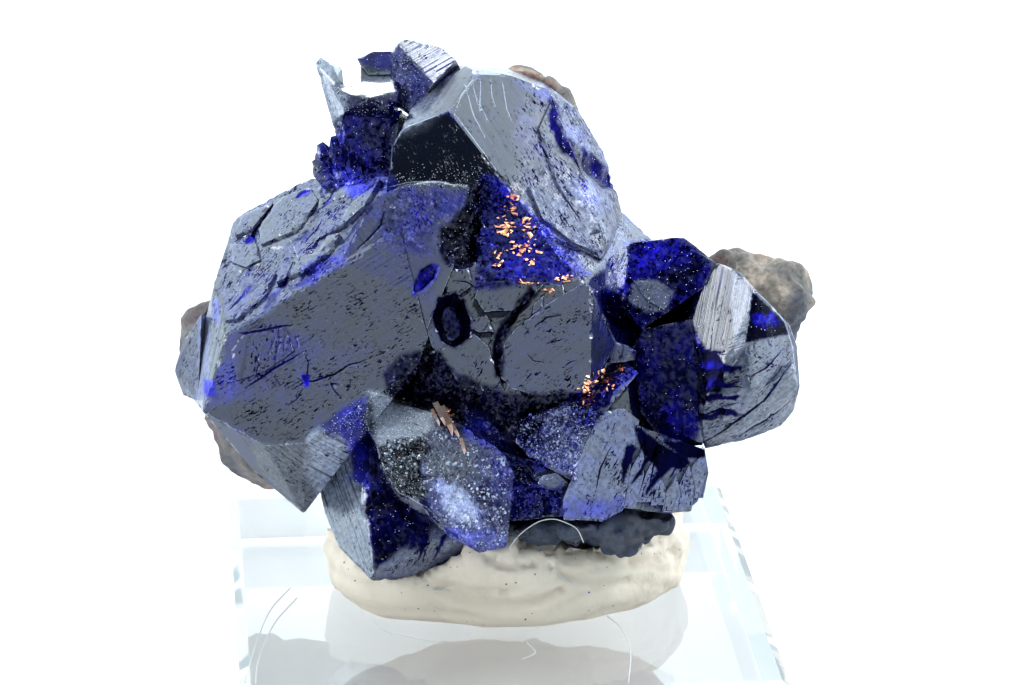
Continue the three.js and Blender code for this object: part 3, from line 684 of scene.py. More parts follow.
area("left edge, blue", [(-18.5, -2.1), (-17.8, -2.3), (-17.6, -3.3), (-18.5, -3.2)],
     soft=0.15, ragged=0.4, blue=0.9, dark=0.6, haze=0.0)
area("left edge, upper blue", [(-17.9, 2.6), (-17.4, 2.3), (-17.6, 1.2), (-18.0, 1.6)],
     soft=0.2, ragged=0.5, blue=0.6, dark=0.3)
area("left foot of main", [
    (-15.7, -5.8), (-14.5, -6.1), (-12.7, -6.0), (-12.0, -6.5), (-11.6, -8.8), (-11.5, -10.2),
    (-12.6, -10.4), (-13.5, -9.5), (-15.2, -7.6),
], blue=0.02, haze=0.07, striae=0.4, rough=0.2, etch=0.2)
print("areas so far:", len(areas))

# %% The top and upper left crystals on the map
area("top front", [
    (-2.8, 15.6), (-0.1, 16.4), (2.0, 16.0), (2.2, 13.3), (3.8, 10.7), (5.3, 7.6), (6.4, 6.1),
    (4.7, 4.5), (1.7, 7.2), (-0.8, 10.0), (-3.6, 13.9),
], blue=0.04, striae=0.12, etch=0.45, rough=0.16, haze=0.01)
area("top front, striated", [
    (-3.5, 14.0), (-2.6, 15.5), (0.9, 15.8), (0.6, 12.5), (-0.2, 10.5), (-1.0, 10.3),
], soft=0.6, striae=0.15, etch=0.1)
area("top front, cloudy", [
    (0.8, 14.0), (2.2, 14.5), (2.8, 12.0), (4.2, 9.5), (3.0, 8.0), (1.5, 9.5), (0.5, 11.5),
], soft=1.0, ragged=1.6, blue=0.14, haze=0.05, etch=0.6, glitter=0.08, rough=0.3)
area("top front, rough end", [
    (5.3, 8.4), (6.6, 6.1), (4.4, 4.0), (1.5, 7.0), (0.0, 9.2), (1.5, 9.8), (2.5, 11.0), (3.9, 10.3),
], soft=0.8, ragged=0.8, blue=0.12, haze=0.11, etch=0.65, rough=0.32, glitter=0.3, dust=0.4,
    frost=0.5, striae=0.4)
area("top right", [
    (2.4, 15.6), (4.0, 14.4), (5.7, 11.7), (6.3, 9.9), (6.8, 7.9), (6.6, 6.1), (5.3, 7.6), (3.9, 10.6),
    (2.5, 13.2),
], soft=0.4, ragged=0.8, blue=0.18, dark=0.12, etch=0.85, steps=0.2, rough=0.3, glitter=0.35,
    frost=0.7, haze=0.05, dust=0.2)
area("top right, bright blue", [(3.2, 13.4), (3.9, 13.2), (4.6, 11.8), (4.4, 11.2), (3.7, 11.9)],
     soft=0.4, ragged=0.8, blue=0.4, haze=0.15, glitter=0.4)
area("top right, lower bright blue", [(3.6, 9.9), (4.6, 9.4), (5.4, 8.2), (5.0, 7.2), (4.2, 7.9)],
     soft=0.5, ragged=1.0, blue=0.4, haze=0.25, glitter=0.4)
area("top edge, violet", [(0.2, 15.8), (2.1, 15.3), (2.3, 14.3), (1.8, 14.4), (1.2, 15.0)],
     soft=0.2, ragged=0.5, blue=0.5, haze=0.1)
area("top right, dark band", [
    (2.1, 14.6), (2.6, 14.4), (2.9, 13.0), (3.4, 12.2), (4.6, 11.5), (6.1, 10.2), (6.4, 9.3),
    (5.6, 9.3), (4.2, 10.3), (3.1, 11.4), (2.4, 12.8),
], soft=0.15, ragged=0.45, blue=0.14, dark=1.15, etch=0.5, haze=0.0, frost=0.3)
area("top right, notch", [(4.2, 11.8), (6.1, 10.4), (6.7, 9.4), (6.2, 8.9), (5.3, 9.2), (4.1, 10.2)],
     soft=0.15, ragged=0.3, blue=0.2, dark=1.15, etch=0.5, haze=0.0, frost=0.3, sink=0.6)
# Painted light: a groove and a step on the top face are painted pale over the dark that they mirror,
# and made rough.
area("top front, groove painted pale", [
    (0.7, 9.9), (1.5, 8.4), (3.4, 6.4), (5.2, 4.8), (5.7, 5.3), (3.8, 7.2), (1.6, 9.4),
], soft=0.3, ragged=0.3, dark=0.0, haze=0.24, rough=0.7, etch=0.7)
area("top front, step painted pale", [
    (1.9, 13.0), (2.4, 12.8), (2.4, 11.0), (3.5, 8.4), (4.6, 6.9), (4.1, 6.6), (2.9, 8.4), (1.8, 10.9),
], soft=0.25, ragged=0.3, haze=0.16, rough=0.6, etch=0.7)
area("top left", [(-6.7, 13.0), (-5.8, 14.7), (-4.3, 15.9), (-2.8, 16.8), (-2.4, 15.4), (-3.6, 14.0)],
     blue=0.03, striae=0.25, etch=0.05, rough=0.2)
area("top left, lower end", [(-6.8, 12.8), (-6.0, 14.3), (-4.8, 15.2), (-4.3, 14.4), (-5.4, 13.2)],
     soft=0.8, ragged=0.2, haze=0.2)
area("top black face", [
    (-7.4, 9.6), (-7.1, 11.7), (-6.6, 12.7), (-3.8, 13.8), (-2.0, 11.8), (-0.8, 10.0), (-2.5, 9.5),
], blue=0.0, striae=0.05, etch=0.0, dust=0.006)
area("top black face's foot", [
    (-7.2, 9.4), (-7.1, 10.3), (-4.9, 10.6), (-2.5, 10.4), (-0.8, 10.1), (-2.5, 9.2), (-4.9, 9.4),
], soft=0.25, blue=0.0, dust=0.5, glitter=0.2)
area("upper left mass", [
    (-10.3, 13.7), (-7.0, 14.2), (-7.4, 9.6), (-10.9, 9.6), (-11.6, 10.7), (-11.5, 12.2),
], blue=0.2, dark=0.85, crust=0.35, glitter=0.3, etch=0.3, dust=0.05)
area("upper left facet", [(-10.9, 10.0), (-10.2, 10.3), (-10.4, 9.7)],
     soft=0.06, ragged=0.05, blue=0.0, haze=1.0, crust=0.0, dark=0.0)
area("upper left glow", [(-11.2, 10.5), (-7.3, 9.9), (-7.4, 9.0), (-11.0, 9.0)],
     soft=0.4, ragged=0.7, blue=1.0, dark=0.75, crust=0.3)
area("under the upper white face", [
    (-10.6, 15.3), (-8.5, 14.6), (-6.8, 15.0), (-7.0, 13.6), (-10.0, 13.9),
], blue=0.05, dark=0.6, glitter=0.15, etch=0.3, dust=0.5, crust=0.1)
area("upper stub", [(-9.3, 17.1), (-8.3, 17.5), (-7.2, 17.6), (-7.2, 16.3), (-8.7, 16.2)],
     soft=0.08, ragged=0.05, blue=0.2, dark=0.65, striae=1.0, dust=0.2)
area("upper white face", [
    (-11.2, 16.1), (-10.3, 16.8), (-9.4, 17.2), (-8.6, 16.6), (-7.4, 16.3), (-6.7, 15.0), (-8.5, 14.7),
    (-9.7, 14.8), (-10.9, 15.5),
], soft=0.1, ragged=0.05, blue=0.02, haze=0.1, etch=0.05)
# Painted light: this crystal is painted pale where light shines through it from behind.
area("upper pale crystal", [
    (-11.9, 16.8), (-11.4, 17.4), (-10.8, 16.6), (-10.9, 15.4), (-9.8, 14.8), (-10.2, 12.8),
    (-10.7, 12.4), (-11.4, 15.0),
], blue=0.05, haze=0.3, etch=0.1, striae=0.3)
area("upper blue side", [
    (-7.3, 17.2), (-6.9, 17.9), (-5.9, 16.8), (-4.7, 15.6), (-5.2, 14.8), (-6.1, 13.9), (-7.0, 14.3),
], soft=0.1, ragged=0.05, blue=0.2, dark=0.55, haze=0.04, striae=1.0, etch=0.7, glitter=0.3, dust=0.4)
area("upper striated face", [
    (-6.9, 18.2), (-6.4, 18.4), (-4.3, 18.0), (-3.0, 16.9), (-4.0, 16.2), (-4.7, 15.6), (-5.9, 16.8),
], soft=0.1, ragged=0.05, blue=0.06, striae=1.35, haze=0.12, etch=0.1)
# Painted shade: a small facet below the upper crystals is painted dark.
area("gap below the upper crystals", [(-7.5, 14.4), (-6.3, 14.2), (-5.9, 13.5), (-7.2, 13.1)],
     soft=0.15, blue=0.1, dark=1.2, striae=0.0)
print("areas so far:", len(areas))

# %% The centre on the map
area("central plates", [
    (-4.3, -0.4), (-4.7, 1.9), (-4.1, 4.2), (-2.2, 4.3), (-1.9, 3.6), (1.7, 3.9), (4.4, 3.8),
    (2.0, 2.5), (0.0, 0.8), (-0.9, -1.1), (-0.4, -2.7), (-3.0, -2.6), (-3.7, -1.8),
], blue=0.03, etch=0.4, haze=0.005)
area("central front", [
    (-0.9, -1.3), (-0.4, 0.0), (0.2, 0.8), (1.7, 1.8), (2.2, 2.4), (4.4, 3.6), (4.8, 3.1), (5.3, 0.8),
    (5.9, -0.1), (4.6, -2.5), (4.4, -3.0), (1.1, -3.0), (0.0, -2.7), (-0.7, -1.9),
], blue=0.05, etch=0.45, haze=0.005, striae=0.15)
area("central flank", [
    (4.8, 3.4), (5.3, 0.8), (6.0, -0.1), (4.6, -2.5), (6.0, -1.2), (7.2, -0.9), (7.4, -0.4), (5.9, 1.9),
], soft=0.1, ragged=0.1, blue=0.12, striae=1.0, etch=0.3)
area("dark recess", [
    (-4.3, 6.9), (-3.6, 7.2), (-2.5, 9.2), (-1.8, 9.6), (-1.7, 7.6), (-2.0, 4.8), (-2.5, 4.5),
    (-4.0, 4.6), (-4.4, 5.5),
], blue=0.02, dark=0.92, crust=0.7, glitter=0.3, dust=0.2, sink=0.3)
area("copper hollow", [
    (-1.9, 9.8), (-1.0, 9.9), (0.5, 8.2), (2.9, 6.1), (4.7, 4.0), (2.9, 3.6), (0.5, 3.5), (-2.2, 3.1),
    (-2.0, 6.8),
], blue=0.3, dark=0.87, crust=0.7, glitter=0.5, soft=0.25)
area("copper hollow's blue rim", [
    (-1.6, 9.9), (-0.9, 9.9), (0.7, 8.2), (3.1, 6.2), (4.8, 4.1), (4.1, 4.2), (2.2, 6.1), (0.2, 8.0),
], soft=0.25, ragged=0.4, blue=0.85, dark=0.75, crust=0.5)
area("under the centre", [
    (-7.7, -1.8), (-6.7, -0.6), (-4.3, -0.4), (-3.4, -1.9), (-0.1, -3.0), (4.6, -3.0), (5.3, -2.7),
    (3.5, -3.6), (0.5, -4.6), (-0.7, -5.8), (-3.0, -5.7), (-4.7, -4.2), (-7.6, -3.2),
], blue=0.04, dark=0.85, crust=0.6, glitter=0.3)
area("almond pit", [
    (-6.0, 2.7), (-5.9, 3.4), (-5.6, 4.3), (-4.9, 4.8), (-4.4, 4.7), (-4.5, 3.8), (-5.2, 3.1),
], soft=0.1, ragged=0.15, blue=0.3, dark=0.97, sink=0.5, etch=0.0)
area("round pit", [
    (-4.8, 1.9), (-4.3, 2.7), (-3.4, 3.0), (-2.8, 2.5), (-2.4, 1.5), (-2.5, 0.3), (-3.4, -0.4),
    (-4.3, 0.1), (-4.7, 1.1),
], soft=0.12, ragged=0.2, blue=0.08, dark=0.9, sink=0.8, etch=0.0, crust=0.4)
area("central groove", [
    (1.0, 3.4), (1.6, 3.0), (0.0, 1.1), (-0.5, -0.1), (-0.5, -2.2), (-1.0, -2.1), (-1.2, -0.4),
    (-0.7, 1.2),
], soft=0.1, ragged=0.3, blue=0.02, dark=0.95, sink=0.4)
print("areas so far:", len(areas))

# %% The right crystals on the map
area("right shoulder", [
    (5.3, 4.8), (7.0, 6.1), (10.1, 6.4), (10.9, 5.7), (12.0, 4.6), (11.3, 3.1), (10.7, 1.3), (8.6, 1.2),
    (7.4, 0.6), (6.0, 0.8), (5.3, 2.5),
], blue=0.36, dark=0.95, crust=0.5, glitter=0.35, etch=0.1, dust=0.07)
area("right shoulder, bright corner", [(6.9, 5.6), (9.8, 6.2), (10.2, 5.2), (9.0, 4.3), (7.0, 4.3)],
     soft=0.6, ragged=0.8, blue=0.6)
area("right shoulder, dark side", [
    (7.0, 1.4), (9.2, 1.3), (9.6, 3.0), (11.0, 3.4), (11.8, 4.6), (10.8, 5.2), (9.8, 4.0), (7.0, 3.0),
], soft=0.4, ragged=0.6, blue=0.12, dark=1.0, dust=0.25)
area("right shoulder, plate", [(7.2, 3.5), (8.3, 3.9), (9.6, 3.1), (9.4, 1.9), (8.0, 1.8), (7.1, 2.5)],
     soft=0.1, blue=0.08, dark=0.0, crust=0.0, glitter=0.03, haze=0.05, etch=0.4)
area("right shoulder, pale side", [
    (5.3, 4.8), (6.0, 5.9), (7.0, 5.9), (6.8, 4.0), (6.4, 3.1), (5.4, 3.3),
], blue=0.3, dark=0.0, haze=0.12, crust=0.2, striae=0.9, glitter=0.2)
area("right hollow", [
    (7.7, 0.8), (10.7, 1.3), (11.6, -0.4), (11.3, -3.1), (11.3, -5.8), (9.2, -6.1), (7.7, -4.0),
    (7.1, -0.4),
], blue=0.16, dark=0.89, crust=0.3, glitter=0.2, etch=0.1, dust=0.04)
area("right hollow, dark middle", [(7.9, -1.3), (10.8, -1.0), (11.2, -3.3), (9.5, -3.4), (8.1, -3.6)],
     soft=0.7, ragged=0.8, blue=0.08, dark=0.97)
area("right hollow, boss", [
    (8.7, -3.9), (10.0, -3.5), (11.1, -4.2), (11.2, -5.6), (10.2, -6.0), (8.9, -5.5),
], soft=0.15, ragged=0.2, blue=0.3, dark=1.0)
area("right white face", [
    (12.1, 4.8), (13.4, 4.2), (14.6, 3.0), (13.8, -0.1), (13.0, -0.6), (11.6, -0.4), (10.7, 1.3),
    (11.3, 3.1),
], soft=0.1, ragged=0.05, blue=0.04, striae=1.0, etch=0.1)
# Painted light: the edge of the white face is painted paler where it shines.
area("right white face, edge", [
    (13.2, 4.3), (14.3, 3.2), (14.6, 1.0), (14.2, -0.4), (13.4, -0.5), (13.2, 1.5),
], soft=0.08, ragged=0.05, blue=0.05, haze=0.22, striae=1.0, etch=0.1)
area("right dark face", [(14.4, 3.1), (16.4, 1.2), (16.6, 0.5), (14.0, 0.0)],
     soft=0.08, ragged=0.05, blue=0.0, dark=1.2, dust=0.08)
area("right dark face, blue spot", [(14.4, 1.6), (15.4, 1.7), (16.2, 1.1), (15.3, 0.9), (14.6, 1.1)],
     soft=0.15, ragged=0.5, blue=0.6, dark=0.95, glitter=0.4)
area("right front", [
    (11.6, -0.4), (13.0, -0.6), (13.8, -0.1), (16.4, 0.4), (16.7, -0.1), (15.5, -1.6), (14.0, -2.9),
    (11.3, -3.1),
], blue=0.06, etch=0.6, haze=0.08, steps=0.2)
area("right front, left end", [(11.2, -0.5), (12.6, -0.5), (13.0, -1.4), (12.4, -3.0), (11.2, -3.2)],
     soft=0.2, ragged=0.4, blue=0.0, dark=1.3, etch=0.3)
area("right front, plate", [(12.4, -0.7), (13.2, -0.9), (14.0, -0.3), (13.6, -1.5), (12.9, -1.6)],
     soft=0.1, ragged=0.2, blue=0.04, dark=0.0, haze=0.03)
for lift in (-1.5, -2.45, -3.4, -4.35):
    area("right notch", [(11.1, lift), (12.2, lift + 0.3), (13.9, lift + 0.05), (13.2, lift - 0.15),
                         (12.3, lift - 0.1), (11.3, lift - 0.35)],
         soft=0.08, ragged=0.5, blue=0.12, dark=1.3)
area("right bands", [
    (16.9, -0.1), (17.2, -2.5), (16.9, -4.0), (15.8, -5.2), (13.7, -5.7), (11.3, -6.3), (11.3, -3.2),
    (14.0, -2.9), (15.5, -1.6),
], blue=0.06, haze=0.15, steps=0.5, striae=0.3, etch=0.3, rough=0.2)
area("right bands, pale band", [
    (11.7, -5.9), (13.5, -4.6), (15.2, -3.4), (16.8, -1.2), (17.1, -2.6), (16.7, -3.6), (14.8, -4.8),
    (13.0, -5.6),
], soft=0.08, ragged=0.15, blue=0.03, haze=0.17, etch=0.15, striae=0.5, steps=0.2, raised=0.08)
print("areas so far:", len(areas))

# %% The lower crystals on the map
# Painted shade: deep gaps, slits and notches among the lower crystals are made dark.
deep_gap = dict(soft=0.08, ragged=0.15, blue=0.03, dark=1.3, haze=0.0, striae=0.0)
slit = dict(soft=0.06, ragged=0.2, blue=0.08, dark=1.3, haze=0.0)
foot_notch = dict(soft=0.06, ragged=0.1, blue=0.12, dark=1.3)
area("lower left side", [
    (-12.4, -5.8), (-11.6, -5.0), (-9.7, -5.8), (-9.5, -8.2), (-9.0, -8.5), (-8.5, -11.2),
    (-8.2, -13.7), (-8.4, -14.3), (-9.4, -13.2), (-10.5, -12.2), (-11.4, -10.2), (-12.0, -7.6),
], soft=0.1, ragged=0.05, blue=0.02, striae=0.7, etch=0.15, haze=0.21)
# Painted light: the upper part and the middle of this side are painted paler where the face mirrors
# dark.
area("lower left side, top", [(-12.0, -5.6), (-10.0, -5.6), (-9.5, -8.4), (-11.0, -9.7), (-12.3, -7.6)],
     soft=0.5, ragged=0.3, haze=0.37, blue=0.08)
area("lower left side, middle", [
    (-11.9, -7.4), (-9.6, -8.4), (-8.9, -8.9), (-8.8, -10.6), (-10.4, -10.8), (-11.6, -9.6),
], soft=0.6, ragged=0.3, haze=0.31)
area("lower left inside", [
    (-11.5, -5.0), (-8.5, -3.1), (-7.9, -7.6), (-7.0, -9.2), (-4.9, -10.9), (-5.5, -12.3),
    (-6.9, -12.4), (-8.1, -13.5), (-8.5, -11.2), (-9.0, -8.5), (-9.5, -8.2), (-9.7, -5.8),
], blue=0.25, dark=0.9, crust=0.1, glitter=0.12, etch=0.3, dust=0.1)
area("lower left inside, dark foot", [
    (-9.1, -8.9), (-7.3, -8.6), (-5.0, -10.9), (-5.6, -12.3), (-6.9, -12.4), (-8.1, -13.4),
    (-8.5, -11.2),
], soft=0.5, ragged=1.0, blue=0.07, dark=1.0)
area("lower left glow", [(-10.0, -5.5), (-9.0, -5.7), (-8.6, -7.0), (-8.8, -8.4), (-9.6, -8.1)],
     soft=0.3, ragged=0.5, blue=1.0, dark=0.6)
area("lower left inside, top", [(-11.5, -5.2), (-8.5, -3.2), (-8.2, -5.6), (-9.6, -5.9)],
     soft=0.4, ragged=0.4, blue=0.5, dark=0.6, dust=0.7, haze=0.05, glitter=0.3)
area("lower left foot", [
    (-8.1, -13.5), (-6.9, -12.4), (-5.5, -12.3), (-4.8, -11.2), (-3.7, -11.4), (-2.9, -11.7),
    (-3.1, -12.6), (-4.9, -13.7), (-6.7, -14.1), (-8.3, -14.3),
], blue=0.08, etch=0.5, haze=0.09, steps=0.1)
area("lower left foot, notch", [(-5.5, -12.1), (-5.0, -11.3), (-5.0, -12.0), (-5.6, -13.0)],
     **foot_notch)
area("lower left foot, second notch", [(-4.2, -11.6), (-3.8, -11.3), (-4.2, -12.2), (-4.8, -13.1)],
     **foot_notch)
area("frosted top", [
    (-8.6, -2.9), (-4.7, -3.9), (-4.6, -5.2), (-5.8, -5.8), (-7.6, -6.6), (-8.2, -5.8), (-8.8, -5.0),
], blue=0.02, rough=0.35, haze=0.19, frost=0.25, dust=1.0, etch=0.1)
area("frosted top, left", [(-8.7, -3.1), (-7.2, -3.3), (-6.8, -5.2), (-7.5, -6.5), (-8.6, -5.0)],
     soft=0.5, ragged=0.3, haze=0.26)
area("frosted flank", [
    (-8.0, -6.2), (-5.8, -5.7), (-4.9, -5.8), (-5.2, -9.4), (-6.7, -9.2), (-7.7, -7.6),
], blue=0.0, dark=0.6, crust=2.2, glitter=1.5, dust=0.4, rough=0.05)
area("frosted body", [
    (-4.7, -5.2), (-3.1, -5.8), (-0.7, -6.5), (0.0, -7.6), (-0.2, -12.4), (-1.9, -12.6), (-3.7, -11.2),
    (-4.9, -10.0), (-5.5, -7.6),
], blue=0.2, dark=0.5, haze=0.07, rough=0.35, frost=1.3, glitter=1.3, dust=0.35, etch=0.25)
area("frosted body, grey", [(-4.9, -5.6), (-2.6, -6.2), (-2.2, -8.3), (-4.0, -8.9), (-5.3, -8.2)],
     soft=0.6, ragged=1.0, blue=0.05, dark=0.3, haze=0.08)
area("frosted body, crackled", [(-2.2, -8.1), (-0.9, -8.3), (-0.8, -9.9), (-1.8, -10.0)],
     soft=0.3, ragged=0.8, blue=0.1, dark=0.75, haze=0.02, crust=1.2, frost=0.0)
area("frosted body, dark side", [(-0.8, -7.4), (0.3, -7.8), (0.1, -10.9), (-0.8, -11.1), (-1.1, -9.5)],
     soft=0.3, ragged=0.8, blue=0.35, dark=0.8, haze=0.03)
area("frosted body, brightest", [
    (-4.7, -9.0), (-3.9, -8.6), (-2.9, -8.8), (-2.1, -9.6), (-2.2, -10.8), (-3.0, -10.9), (-4.0, -10.2),
], soft=0.35, ragged=0.9, blue=0.7, dark=0.0, haze=0.5, frost=1.0, dust=0.9)
area("frosted body, blue foot", [
    (-4.0, -10.9), (-2.6, -11.4), (-1.5, -11.2), (-0.3, -11.6), (-0.3, -12.4), (-1.9, -12.8),
    (-4.3, -11.1),
], soft=0.3, ragged=0.6, blue=0.45, dark=0.4, haze=0.09)
area("frosted body, right side", [(-1.1, -7.0), (0.0, -7.4), (-0.1, -11.4), (-1.0, -10.8)],
     soft=0.5, ragged=0.9, blue=0.3, dark=0.6, haze=0.03)
area("blue above the frosted body", [
    (-3.0, -3.8), (-1.9, -4.2), (-0.7, -5.5), (0.2, -6.8), (-0.7, -6.6), (-2.5, -5.8),
], soft=0.3, ragged=0.5, blue=0.6, dark=0.7, glitter=0.4, crust=0.4, haze=0.05, dust=0.2)
area("rough shoulder", [
    (0.5, -4.6), (3.5, -3.4), (5.3, -4.0), (4.1, -6.5), (3.8, -8.2), (2.9, -7.6), (1.1, -6.8),
    (0.2, -5.8),
], blue=0.45, dark=0.35, crust=0.7, frost=1.3, glitter=1.4, dust=0.9, haze=0.16)
area("rough shoulder, dark corner", [(0.3, -4.7), (1.8, -4.2), (2.0, -6.3), (1.0, -6.8), (0.2, -5.8)],
     soft=0.4, ragged=0.8, blue=0.2, dark=0.8, haze=0.03)
area("copper band", [(3.5, -3.4), (6.8, -1.2), (7.4, -1.8), (5.9, -3.4), (5.0, -5.0), (3.8, -5.2)],
     soft=0.3, ragged=0.5, blue=0.5, dark=0.8, crust=0.7, glitter=0.4)
area("lower right face", [
    (3.8, -8.2), (4.1, -6.5), (5.1, -4.2), (6.5, -3.8), (7.7, -4.6), (8.3, -6.1), (9.2, -5.8),
    (11.3, -6.3), (11.8, -7.0), (11.3, -9.4), (10.3, -10.2), (9.2, -10.4), (8.3, -9.8), (6.5, -10.1),
    (5.3, -10.7), (3.0, -10.5), (3.0, -9.2),
], blue=0.16, haze=0.15, etch=0.4, striae=0.25, rough=0.2)
area("between the fingers", [(7.3, -4.9), (9.2, -6.3), (8.7, -7.6), (7.9, -6.7), (7.5, -5.8)],
     **deep_gap)
area("between the fingers, right", [
    (9.2, -6.3), (10.4, -6.9), (10.7, -7.3), (10.1, -7.6), (9.7, -7.4), (9.0, -8.2), (8.7, -7.6),
], **deep_gap)
area("above the last finger", [(9.0, -6.0), (11.6, -6.0), (11.7, -6.8), (10.9, -7.0), (10.3, -6.9)],
     **deep_gap)
area("first slit", [(6.9, -6.1), (7.5, -6.2), (7.0, -7.4), (6.5, -8.6), (6.6, -7.3)], **slit)
area("second slit", [(8.2, -6.6), (8.4, -6.9), (7.6, -8.0), (7.1, -8.6), (7.7, -7.4)], **slit)
area("third slit", [(8.8, -7.5), (8.9, -8.0), (8.2, -9.1), (7.9, -9.3), (8.4, -8.3)], **slit)
area("lower right face's glow", [
    (3.2, -9.6), (5.0, -9.3), (7.0, -9.4), (6.4, -10.3), (4.5, -10.6), (3.0, -10.5),
], soft=0.4, ragged=0.7, blue=0.5, haze=0.04)
area("lower gap", [(-0.4, -6.8), (1.1, -6.9), (3.0, -7.9), (3.0, -10.0), (-0.2, -10.7), (0.0, -8.2)],
     blue=0.3, dark=0.8, crust=0.6, glitter=0.5, dust=0.15)
area("small plate", [(1.4, -7.8), (2.4, -7.7), (3.2, -8.1), (2.6, -8.7), (1.6, -8.5)],
     soft=0.08, ragged=0.1, blue=0.1, dark=0.2, crust=0.0, haze=0.08, glitter=0.0)
print("areas in all:", len(areas))

# %% Lay the map on the points
seen = seen_from_front(azurite_points)
front = smooth((0.5 - azurite_normals[:, 1]) / 0.3)
finish = {key: np.full(len(azurite_points), value) for key, value in plain_face.items()}


def shake(size, seeds):
    """How far each point is shaken across and up."""
    return np.stack([swelling(azurite_points, size, seed) for seed in seeds], axis=1)


wander = shake(0.9, (11, 12)) + 0.4 * shake(0.3, (13, 14))


def lay_area(outline, soft, ragged, changes):
    """Moves the finish toward an area's values inside its outline."""
    ring = np.array(outline)
    place = seen + wander * ragged
    near = np.all((place > ring.min(0) - 1) & (place < ring.max(0) + 1), axis=1)
    near = np.nonzero(near)[0]
    inside, distance = inside_and_distance(place[near], ring)
    share = smooth(np.where(inside, distance, -distance) / soft * 0.5 + 0.5) * front[near]
    for key, value in changes.items():
        if key == "sink":
            deep = smooth(np.where(inside, distance, 0) / 0.7) * front[near]
            finish[key][near] = np.maximum(finish[key][near], value * deep)
        else:
            finish[key][near] += (value - finish[key][near]) * share


behind = 1 - front
patches = smooth((soft_noise(azurite_points, 3.5, 21) - 0.5) * 6)
finish["blue"] += 0.14 * behind
for key, amount in (("crust", 0.75), ("glitter", 0.3), ("dark", 0.35)):
    finish[key] += amount * behind * patches
for key, amount in (("steps", 0.6), ("striae", 0.3)):
    finish[key] += amount * behind * (1 - patches)
for name, outline, soft, ragged, changes in areas:
    lay_area(outline, soft, ragged, changes)
print("points in front:", int((front > 0.5).sum()), "of", len(azurite_points))

# %% [markdown]
# ## Cracks
#
# The large faces are cracked, and the main one has a fan of thin lines. A crack is a line that we
# draw as seen from the front, with a width. The mesh carries the distance to the nearest crack
# with a sign for its side. That value runs straight through zero at the crack, so the material
# can draw a sharp line from it even though the triangles are coarser than the crack. The pale
# lines are drawn the same way: thin lines on the top face, and painted highlights along edges.

